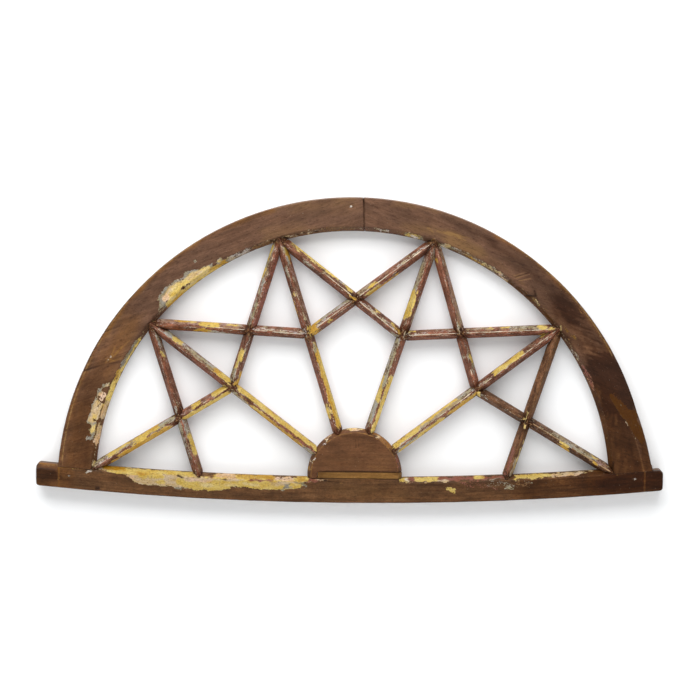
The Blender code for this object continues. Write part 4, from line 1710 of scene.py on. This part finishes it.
def bottom_rail() -> BottomRail:
    """The bottom rail, with bright old paint on its left half.

    Returns:
        The piece, ready to build.
    """
    marks: list[Stroke] = [
        # left horn and foot
        Tone((-583, -24), (-552, -24), 12, -0.8, soft=5),
        Loss((-580, -6), (-551, -6), 3.5, AMBER, 0.9, soft=2.5),
        Tone((-575, -6), (-552, -6), 3, 0.8, soft=3),
        Loss((-543.5, -12), (-543.5, -44), 0.9, OCHRE, 0.5, soft=0.8, ragged=0.8),
        Tone((-543.5, -10), (-543.5, -30), (1.2, 1), 1.3, soft=1.2, ragged=0.5),
        Tone((-543.5, -30), (-543.5, -46), (1, 0.8), 0.8, soft=1.2, ragged=0.5),
        Warmth((-543.5, -10), (-543.5, -46), (1.6, 1.4), soft=1.2, ragged=0.5),
        Tone((-545, -9), (-496, -9), (0.8, 0.6), 0.8, soft=1.2, ragged=0.4),
        Warmth((-545, -9), (-496, -9), (1.2, 1), soft=1.2, ragged=0.4),
        Loss((-545, -9.5), (-496, -8.5), (0.7, 0.5), OCHRE, 0.5, soft=0.7, ragged=0.6),
        Loss((-526, -22), (-525, -22), 3.5, GREEN, 0.5, soft=2.5),
        Loss((-492, -14), (-486, -11), (2.8, 2.2), CHALK, 0.8),
        Cut((-473, -43), (-470, -42), (2.8, 2.4), 2),
        Tone((-490, -5), (-468, -4), (7, 6), -0.5, soft=5),
        # paint, left of the hub
        Loss((-470, -4), (-452, -4), (2.5, 3.5), CREAM, 0.9),
        Loss((-460, -3), (-420, -4), (3, 4), DEEP_OCHRE),
        Loss((-452, -8), (-420, -9), (2, 2.5), YELLOW), Loss((-330, -28), (-316, -31), (3, 2.5), GREEN),
        Loss((-266, -27), (-240, -26), (3, 2.5), GREEN, 0.8),
        Loss((-138, -22), (-126, -24), (4, 3), GREEN), Loss((-412, -11), (-390, -18), (5, 10), PINK),
        Loss((-392, -16), (-300, -15), (12, 13), CREAM), Loss((-415, -5), (-300, -5), 5.5, YELLOW),
        Loss((-392, -12), (-352, -10), 4, YELLOW), Loss((-360, -22), (-350, -22), 3, YELLOW),
        Loss((-318, -16), (-292, -20), (9, 11), YELLOW),
        Loss((-300, -14), (-292, -26), (2.5, 2), OCHRE, 0.75),
        Loss((-284, -12), (-280, -26), (2.5, 2), PINK, 0.9), Loss((-291, -20), (-255, -17), 13, YELLOW),
        Loss((-255, -15), (-232, -14), (14, 13), YELLOW), Loss((-232, -10), (-222, -10), 11, YELLOW),
        Loss((-222, -12), (-160, -13), (10, 12), YELLOW),
        Loss((-306, -12), (-264, -13), (2.6, 3), PINK, 0.95),
        Loss((-290, -10), (-204, -10), (1.5, 1.3), CREAM, 0.95),
        Loss((-350, -9), (-306, -10), (1.5, 1.3), CREAM, 0.95),
        Loss((-282, -20), (-262, -22), (2.4, 2.6), STRAW, 0.95),
        Loss((-236, -18), (-214, -18), (2.4, 2.6), STRAW, 0.95),
        Loss((-200, -16), (-168, -18), (2.4, 2), STRAW, 0.95),
        Loss((-160, -13), (-108, -13), (12, 9), YELLOW),
        Loss((-150, -13), (-108, -12), (3, 4), CREAM, 0.95),
        Loss((-125, -20), (-116, -14), (2.5, 2), GREEN, 0.75),
        Loss((-108, -12), (-92, -12), (5, 4), CREAM, 0.9),
        Loss((-112, -15), (-96, -15), (4.2, 3.4), YELLOW, 0.9),
        Loss((-106, -12.5), (-101, -12.5), (2, 1.6), STRAW, 0.95),
        Loss((-104, -8.5), (-93, -10), (1.5, 2), GREEN, 0.8),
        Loss((-93, -10), (-86, -18), (2.4, 2), GREEN, 0.8), Loss((-208, -3), (-146, -3), 3, OCHRE),
        Loss((-276, -3), (-258, -4), 2.5, BARE, 0.8), Loss((-250, -3), (-218, -4), 2.5, PINK, 0.9),
        Loss((-140, -4), (-108, -5), (2.5, 3), PINK, 0.7),
        Loss((-106, -4), (-82, -4), 3.5, YELLOW, 0.85), Loss((-98, -3.5), (-90, -3.5), 3, OCHRE, 0.95),
        Loss((-245, -9.5), (-236, -9.5), 0.9, DARK), Loss((-322, -9), (-317, -9), 0.9, DARK),
        Loss((-190, -8.5), (-146, -8.8), (0.7, 0.6), RED, 0.8),
        Loss((-400, -8.2), (-380, -8.6), 0.6, OCHRE, 0.8),
        # under and right of the hub
        Loss((-78, -6), (-62, -5), (3.8, 2.6), RED, 0.75),
        Loss((-64, -4), (-54, -4.4), (1.6, 0.9), PINK), Loss((-52, -6), (-49, -6), (1.6, 1.4), DARK),
        Cut((-52, -6), (-49, -6), (1.5, 1.3), 1.5), Loss((89, -5), (101, -4), (2.4, 3), YELLOW, 0.95),
        Loss((101, -4), (111, -4), (1.7, 1.5), WHITE, 0.8), Loss((108, -4), (285, -4), 3.6, RED, 0.85),
        Loss((119, -4), (134, -4), 3, YELLOW), Loss((138, -4), (157, -4), (2.8, 2.6), YELLOW),
        Loss((158, -7.2), (178, -7.4), (0.8, 0.6), CREAM, 0.85),
        Loss((228, -2.5), (239, -2.5), (1.8, 1.6), YELLOW, 0.95),
        Loss((175, -20), (184, -22), (2.8, 3), YELLOW, soft=1),
        Loss((184, -23), (193, -22), (3, 1.8), YELLOW, soft=1),
        Loss((187, -25), (191, -28), (2.2, 1.4), YELLOW, soft=1),
        Loss((204, -13), (262, -17), (7, 9), RED, 0.42),
        Loss((256, -12), (330, -17), (6, 7), SAGE, 0.3),
        Loss((260, -13), (276, -15), (3, 4), SAGE, 0.46), Loss((276, -19), (297, -23), 5, SAGE, 0.46),
        Loss((284, -24), (293, -25), (2.8, 2.5), SAGE, 0.72),
        Loss((308, -16), (324, -18), (6, 5), BARE, 0.52),
        Loss((303, -4), (350, -4), (3.8, 3.4), YELLOW),
        Loss((350, -4), (382, -4), (3, 2.6), YELLOW, 0.85), Loss((372, -5), (420, -5), 2, PINK, 0.8),
        Loss((380, -2), (445, -1.5), (1.8, 1.2), CREAM, 0.9),
        # right foot and horn
        Loss((524, -21), (525, -21), (1.3, 1.2), CHALK, 0.8),
        Tone((541, -2), (541, -45), (1, 0.9), 1.5, soft=1.2, ragged=0.4),
        Warmth((541, -2), (541, -45), (1.4, 1.2), soft=1.2, ragged=0.4),
        Loss((292, -43), (294, -43), (1.4, 1.2), OCHRE, 0.7),
        # broad tones
        Tone((-545, -30), (-420, -30), (16, 14), -0.1), Tone((-400, -40), (-100, -40), 7, -0.05),
        Tone((-30, -20), (90, -32), (9, 10), 0.12), Tone((150, -24), (330, -24), 20, -0.2),
        Tone((335, -24), (590, -24), (24, 28), -0.5, soft=20),
        Tone((425, -24), (590, -24), (26, 30), -0.32, soft=20),
        Tone((490, -24), (590, -24), (26, 30), -0.4, soft=20), Warmth((330, -24), (450, -24), 28, 0.6),
        Warmth((450, -24), (590, -24), 30, 1), Warmth((-590, -24), (-545, -24), 30, 0.5, soft=6),
        Tone((470, -4), (500, -4), 6, -0.4, soft=5), Tone((340, -22), (400, -26), (5, 4), 0.12, soft=5),
    ]
    return BottomRail("bottom_rail", WARM_STAIN, marks, seed=31, coat_shade=0.80)


def hub() -> list[Hub]:
    """The hub, and the strip let in under it.

    Returns:
        Both pieces, ready to build.
    """
    marks: list[Stroke] = [
        Loss((-12, 121), (24, 121), 3.4, AMBER, 0.95),
        Loss((-8, 119.5), (15, 119.5), (1.8, 1.6), STRAW, 0.75),
        Loss((0, 118), (10, 118), (1.3, 1), PINK, 0.55), Loss((-28, 115), (-14, 119), 2.6, GREEN, 0.45),
        Loss((-33, 113), (-31, 113), (1.8, 1.6), CREAM, 0.8),
        Loss((-50, 101), (-42, 107), 2.2, PINK, 0.6),
        Loss((-54, 91), (-48, 97), (1.4, 1.5), WHITE, 0.85),
        Loss((-75, 58), (-70.5, 66), (1.5, 1.4), WHITE, 0.95),
        Loss((-80, 36), (-78, 52), 2.4, OCHRE, 0.5), Loss((36, 114), (48, 108), (2.6, 3), AMBER, 0.8),
        Loss((50, 105), (74, 84), 3.2, AMBER, soft=1, ragged=1),
        Loss((46, 106), (48, 105), (1.1, 1), CREAM, 0.7), Loss((81, 72), (86, 52), 2.6, RED, 0.9),
        Loss((64, 72), (66, 72), (1.4, 1.2), CREAM, 0.5), Cut((5, 100), (6, 86), 0.5, 0.4),
        Cut((11, 101), (11, 88), 0.4, 0.3), Cut((-60, 41.5), (80, 41), 0.8, 0.5),
        Tone((28, 50), (64, 50), 0.5, 0.5, soft=1.5, ragged=0.6),
        Tone((40, 46), (72, 45), 0.5, 0.45, soft=1.5, ragged=0.6),
        Tone((-45, 82), (-34, 82), 3, -0.25, soft=4), Tone((16, 70), (22, 68), 3, -0.3, soft=4),
        Tone((-40, 60), (60, 56), 14, 0.07), Tone((-20, 104), (30, 104), 6, -0.2),
        Tone((30, 82), (60, 70), 6, 0.1), Tone((-84, 36), (-66, 38), 6, -0.42, soft=5),
    ]
    # darker on the strip, in the corners where the outer rays' feet stand
    darker_corners: list[Stroke] = [
        Tone((-62, 37), (-57, 37), (3, 5), -0.55, soft=7),
        Tone((77, 37), (82, 37), (2, 5), -0.4, soft=4),
    ]
    return [
        Hub("hub", HUB_STAIN, marks, seed=41),
        Hub("hub_strip", NEW_WOOD, darker_corners, seed=43),
    ]


def bar(
    node: str, seed: int, crossing: float, *flakes: tuple, finish: CoatedWood = PAINT,
    broad: Sequence[Stroke] = (), **sizes: float
) -> GlazingBar:
    """A glazing bar with its lost paint.

    Args:
        node: the CAD node.
        seed: picks its grain and its wear.
        crossing: how far along another bar crosses it, in millimetres.
        flakes: what flake() takes for each place where the paint is lost.
        finish: its finish.
        broad: tones along the whole bar.
        sizes: other fields of the bar.

    Returns:
        The bar, ready to build.
    """
    marks = [*(flake(*row) for row in flakes), *broad]
    return GlazingBar(node, finish, marks, seed=seed, crossings=(crossing,), **sizes)


def star_bars() -> list[GlazingBar]:
    """The eight short bars that make the points of the star.

    Returns:
        The bars, ready to build.
    """
    return [
        bar(
            "star_bar_1_left", 51, 175,
            (INNER, 21, 28, CHALK, 0.7), (EDGE, 38, 60, BUFF, 0.8), (INNER, 53, 63, YELLOW),
            (EDGE, 60, 76, ROSE, 0.7), (NOSE, 60, 78, ROSE, 0.5), (INNER, 146, 158, CHALK, 0.65),
            (LOW_INNER, 158, 170, SAGE, 0.7), (UP, 178, 186, OCHRE), (LOW, 186, 206, SAGE, 0.85),
            (LOW, 206, 262, SAGE, 0.66), (INNER, 200, 218, CHALK, 0.6), (UP, 186, 216, SAGE, 0.7),
            (UP, 10, 52, SAGE, 0.6), (UP, 216, 256, YELLOW), (NOSE, 222, 256, ROSE, 0.65),
            (NOSE, 216, 240, BUFF, 0.6), (UP, 258, 286, BARE, 0.6),
            worn_line=0.3,
        ),
        bar(
            "star_bar_1_right", 52, 180,
            (UP, 14, 90, ROSE, 0.8), (EDGE, 14, 21, BUFF), (EDGE, 48, 80, OCHRE),
            (EDGE, 62, 80, YELLOW, 0.9), (UP, 90, 127, YELLOW), (UP, 127, 136, ROSE, 0.8),
            (UP, 136, 157, YELLOW), (UP, 158, 168, BUFF), (INNER, 128, 172, ROSE, 0.7),
            (LOW, 84, 112, OCHRE, 0.8), (LOW_EDGE, 80, 118, OCHRE), (LOW_EDGE, 110, 145, SAGE, 0.9),
            (UP, 190, 286, ROSE, 0.62), (EDGE, 206, 216, BUFF, 0.8), (INNER, 190, 286, CHALK, 0.7),
            (NOSE, 192, 286, RED, 0.6),
            worn_line=1.4, broad=[Warmth((20, -6), (280, -6), 5, 0.45, soft=3, ragged=2)],
        ),
        bar(
            "star_bar_2_left", 53, 110,
            (EDGE, 3, 15, YELLOW), (LOW, 0, 12, OCHRE), (LOW_EDGE, 10, 32, OCHRE),
            (UP, 6, 36, SAGE, 0.75), (INNER, 36, 72, YELLOW), (NOSE, 54, 72, YELLOW),
            (UP, 76, 100, ROSE, 0.5), (UP, 118, 200, SAGE, 0.75), (EDGE, 120, 204, CHALK, 0.55),
            (UP, 200, 268, SAGE, 0.8), (INNER, 204, 262, BUFF, 0.6), (EDGE, 208, 228, YELLOW),
            (EDGE, 240, 266, YELLOW, 0.9), (LOW, 120, 262, RED, 0.75),
            wear=0.34,
        ),
        bar(
            "star_bar_2_right", 54, 176,
            (UP, 26, 50, BUFF, 0.6), (UP, 22, 130, LEMON, 0.46), (EDGE, 22, 132, LEMON),
            (INNER, 96, 130, BUFF, 0.55), (EDGE, 132, 144, SAGE, 0.7), (EDGE, 144, 166, YELLOW, 0.85),
            (NOSE, 50, 74, CHALK, 0.55), (LOW, 58, 82, SAGE, 0.62), (NOSE, 165, 176, OCHRE, 0.8),
            (INNER, 188, 216, CHALK, 0.75), (INNER, 214, 268, CHALK, 0.8), (EDGE, 219, 227, YELLOW),
            (EDGE, 252, 268, YELLOW, 0.8), (LOW, 268, 286, SAGE, 0.7), (UP, 266, 286, OCHRE, 0.5),
            worn_line=1.2,
        ),
        bar(
            "star_bar_3_left", 55, 108,
            (UP, 2, 19, OCHRE), (NOSE, 2, 19, OCHRE), (LOW, 4, 18, OCHRE, 0.9), (UP, 18, 98, SAGE, 1),
            (INNER, 26, 62, ROSE, 0.65), (INNER, 18, 98, CHALK, 0.58), (EDGE, 18, 32, YELLOW, 0.9),
            (LOW_INNER, 38, 52, YELLOW, 0.7), (EDGE, 99, 107, YELLOW), (UP, 118, 144, BUFF, 0.75),
            (INNER, 140, 160, YELLOW, 0.95), (LOW_INNER, 128, 162, YELLOW, 0.95),
            (LOW_EDGE, 128, 200, OCHRE, 0.85), (UP, 165, 238, ROSE, 0.55),
            (INNER, 202, 266, CHALK, 0.75), (EDGE, 224, 237, BUFF, 0.85),
            (LOW_INNER, 232, 242, CHALK, 0.5),
            worn_line=1.2,
        ),
        bar(
            "star_bar_3_right", 56, 171,
            (UP, 8, 164, ROSE, 1.05), (INNER, 10, 64, BUFF, 0.56), (EDGE, 112, 160, BUFF, 0.62),
            (INNER, 186, 262, CHALK, 0.55), (LOW, 16, 150, RED, 0.5), (LOW_EDGE, 25, 34, OCHRE, 0.8),
            (NOSE, 152, 168, SAGE, 0.7), (NOSE, 168, 174, BUFF, 0.85), (EDGE, 186, 214, BUFF, 0.55),
            (EDGE, 214, 234, YELLOW, 0.85), (EDGE, 232, 256, SAGE, 0.8),
            (LOW_INNER, 213, 222, BUFF, 0.7),
            wear=0.2,
        ),
        bar(
            "star_bar_4_left", 57, 108,
            (INNER, 2, 12, CHALK, 0.9), (UP, 16, 100, ROSE, 0.6), (EDGE, 9, 20, YELLOW, 0.95),
            (EDGE, 58, 96, BUFF, 0.6), (INNER, 12, 108, CHALK, 0.5), (UP, 117, 166, BUFF, 0.72),
            (INNER, 120, 160, ROSE, 0.55), (EDGE, 158, 168, YELLOW), (UP, 166, 186, ROSE, 0.55),
            (EDGE, 184, 203, YELLOW, 0.95), (UP, 196, 252, SAGE, 0.76), (INNER, 200, 262, BUFF, 0.6),
            (UP, 250, 262, YELLOW), (INNER, 268, 279, YELLOW, 0.9), (LOW, 16, 250, RED, 0.5),
            (LOW_EDGE, 252, 268, OCHRE, 0.9),
            worn_line=1.3,
        ),
        bar(
            "star_bar_4_right", 58, 115,
            (LOW, 12, 46, BUFF, 0.95), (LOW_EDGE, 34, 84, STRAW, 0.95), (LOW_EDGE, 80, 100, STRAW, 0.6),
            (UP, 8, 60, RED, 0.75), (NOSE, 104, 112, STRAW, 0.95), (INNER, 119, 134, STRAW, 0.72),
            (LOW_INNER, 264, 280, ROSE, 0.5),
            finish=PAINT_BROWN, wear=0.0, worn_line=0.3,
            broad=[
                Warmth((10, -6), (280, -6), 5, 0.5, soft=3, ragged=2),
                Tone((10, -6), (280, -6), 5, 0.12, soft=3, ragged=2),
            ],
        ),
    ]


def long_bars() -> list[GlazingBar]:
    """The four rays from the hub and the two bars at the feet.

    Returns:
        The bars, ready to build.
    """
    return [
        bar(
            "ray_1", 61, 191,
            (INNER, 32, 41, ROSE, 0.7), (UP, 36, 58, SAGE, 0.98), (UP, 54, 76, YELLOW),
            (UP, 74, 98, CHALK, 0.86), (UP, 95, 152, SAGE, 1.02), (INNER, 70, 148, BUFF, 0.66),
            (UP, 149, 166, OCHRE), (UP, 160, 187, YELLOW), (LOW_EDGE, 178, 186, YELLOW),
            (EDGE, 197, 209, OCHRE), (UP, 205, 392, YELLOW), (LOW, 200, 246, SAGE, 0.85),
            (LOW_INNER, 212, 246, OCHRE, 0.5), (LOW, 244, 292, OCHRE, 0.9),
            (LOW_INNER, 244, 270, YELLOW, 0.8), (LOW, 290, 368, OCHRE, 0.72),
            (LOW, 368, 388, SAGE, 0.85), (NOSE, 226, 250, DARK, 0.55), (NOSE, 300, 384, RED, 0.7),
        ),
        bar(
            "ray_2", 62, 187,
            (INNER, 20, 34, YELLOW, 0.95), (UP, 30, 50, OCHRE, 0.9), (NOSE, 22, 34, BUFF, 0.7),
            (INNER, 38, 82, SAGE, 0.75), (LOW_INNER, 54, 78, SAGE, 0.7), (UP, 56, 172, ROSE, 0.6),
            (INNER, 80, 87, BUFF, 0.9), (LOW_INNER, 104, 112, YELLOW), (NOSE, 106, 111, BUFF, 0.9),
            (LOW_EDGE, 112, 152, OCHRE, 0.6), (INNER, 148, 173, CHALK, 0.75), (EDGE, 174, 191, OCHRE),
            (UP, 178, 188, YELLOW, 0.9), (LOW, 179, 187, CHALK, 0.8), (UP, 210, 224, YELLOW, 0.95),
            (INNER, 214, 228, SAGE, 0.9), (UP, 222, 370, GOLD), (EDGE, 226, 366, LEMON, 0.75),
            (LOW_EDGE, 238, 302, OCHRE, 0.85), (LOW, 325, 346, YELLOW), (NOSE, 328, 343, YELLOW),
            (LOW, 220, 322, RED, 0.5),
            wear=0.29,
        ),
        bar(
            "ray_3", 63, 197,
            (EDGE, 10, 19, ROSE, 0.9), (UP, 19, 68, SAGE, 0.95), (LOW, 8, 118, LEMON),
            (LOW_INNER, 60, 118, YELLOW, 0.75), (UP, 64, 116, YELLOW), (INNER, 92, 186, SAGE, 0.92),
            (EDGE, 116, 186, SAGE, 0.85), (LOW_INNER, 193, 201, CHALK, 0.95), (UP, 225, 281, YELLOW),
            (NOSE, 228, 276, YELLOW, 0.9), (UP, 280, 342, SAGE, 0.96), (INNER, 286, 338, BUFF, 0.62),
            (LOW_EDGE, 221, 272, BUFF, 0.85), (LOW_INNER, 274, 338, RED, 0.65),
            (LOW, 338, 370, BUFF, 0.7), (UP, 340, 372, ROSE, 0.7), (UP, 346, 372, CHALK, 0.5),
        ),
        bar(
            "ray_4", 64, 197,
            (UP, 6, 76, YELLOW), (UP, 70, 162, BUFF), (EDGE, 74, 158, YELLOW, 0.9),
            (UP, 160, 192, SAGE, 0.8), (NOSE, 20, 190, CHALK, 0.5), (LOW, 6, 62, SAGE, 0.9),
            (LOW_EDGE, 10, 60, YELLOW, 0.9), (LOW, 58, 116, YELLOW, 0.85), (LOW, 130, 168, OCHRE, 0.95),
            (LOW, 166, 192, OCHRE, 0.75), (INNER, 204, 244, CHALK, 0.6), (UP, 240, 308, YELLOW),
            (INNER, 238, 300, YELLOW), (UP, 306, 352, ROSE, 0.55), (NOSE, 328, 372, CHALK, 0.5),
            (EDGE, 348, 366, YELLOW, 0.85), (EDGE, 373, 387, YELLOW), (INNER, 310, 350, CHALK, 0.5),
            worn_line=1.0,
        ),
        bar(
            "foot_bar_left", 65, 189,
            (UP, 6, 15, BUFF, 0.9), (UP, 12, 42, SAGE, 0.95), (INNER, 14, 40, CHALK, 0.55),
            (UP, 42, 64, YELLOW), (UP, 62, 100, BUFF, 0.9), (EDGE, 60, 86, YELLOW, 0.9),
            (UP, 98, 152, YELLOW, 0.95), (EDGE, 130, 160, OCHRE, 0.7), (NOSE, 98, 120, YELLOW),
            (NOSE, 130, 152, BUFF, 0.8), (UP, 150, 182, SAGE, 0.85), (LOW_EDGE, 18, 36, YELLOW),
            (LOW, 10, 48, BARE, 0.6), (LOW, 70, 168, GOLD), (LOW_INNER, 60, 168, OCHRE, 0.9),
            (LOW_EDGE, 40, 168, OCHRE, 0.85), (INNER, 198, 226, ROSE, 0.6), (UP, 221, 241, YELLOW),
            (UP, 242, 268, ROSE, 0.58), (UP, 267, 292, YELLOW), (LOW, 196, 292, YELLOW, 0.95),
            (LOW_INNER, 200, 250, YELLOW, 0.8),
        ),
        bar(
            "foot_bar_right", 66, 111,
            (LOW, 0, 7, YELLOW), (LOW_INNER, 8, 28, SAGE, 0.5), (NOSE, 103, 109, STRAW, 0.7),
            (INNER, 116, 172, CHALK, 0.52), (UP, 164, 262, SAGE, 0.8), (EDGE, 160, 240, BUFF, 0.72),
            (INNER, 178, 192, BUFF, 0.8), (NOSE, 182, 201, YELLOW), (LOW, 184, 203, OCHRE, 0.9),
            (EDGE, 243, 257, YELLOW), (NOSE, 252, 264, OCHRE, 0.95), (UP, 258, 278, ROSE, 0.75),
            finish=PAINT_BROWN, worn_line=1.5,
            broad=[Tone((114, -5), (300, -5), 5, -0.45, soft=3, ragged=3)],
        ),
    ]


def main() -> None:
    """Builds the sash and its studio, and reports each piece."""
    logging.basicConfig(level=logging.INFO, format="%(message)s")
    for timber in [arch_left(), arch_right(), bottom_rail(), *hub(), *star_bars(), *long_bars()]:
        timber.build()
    Studio().build()


if __name__ == "__main__":
    main()
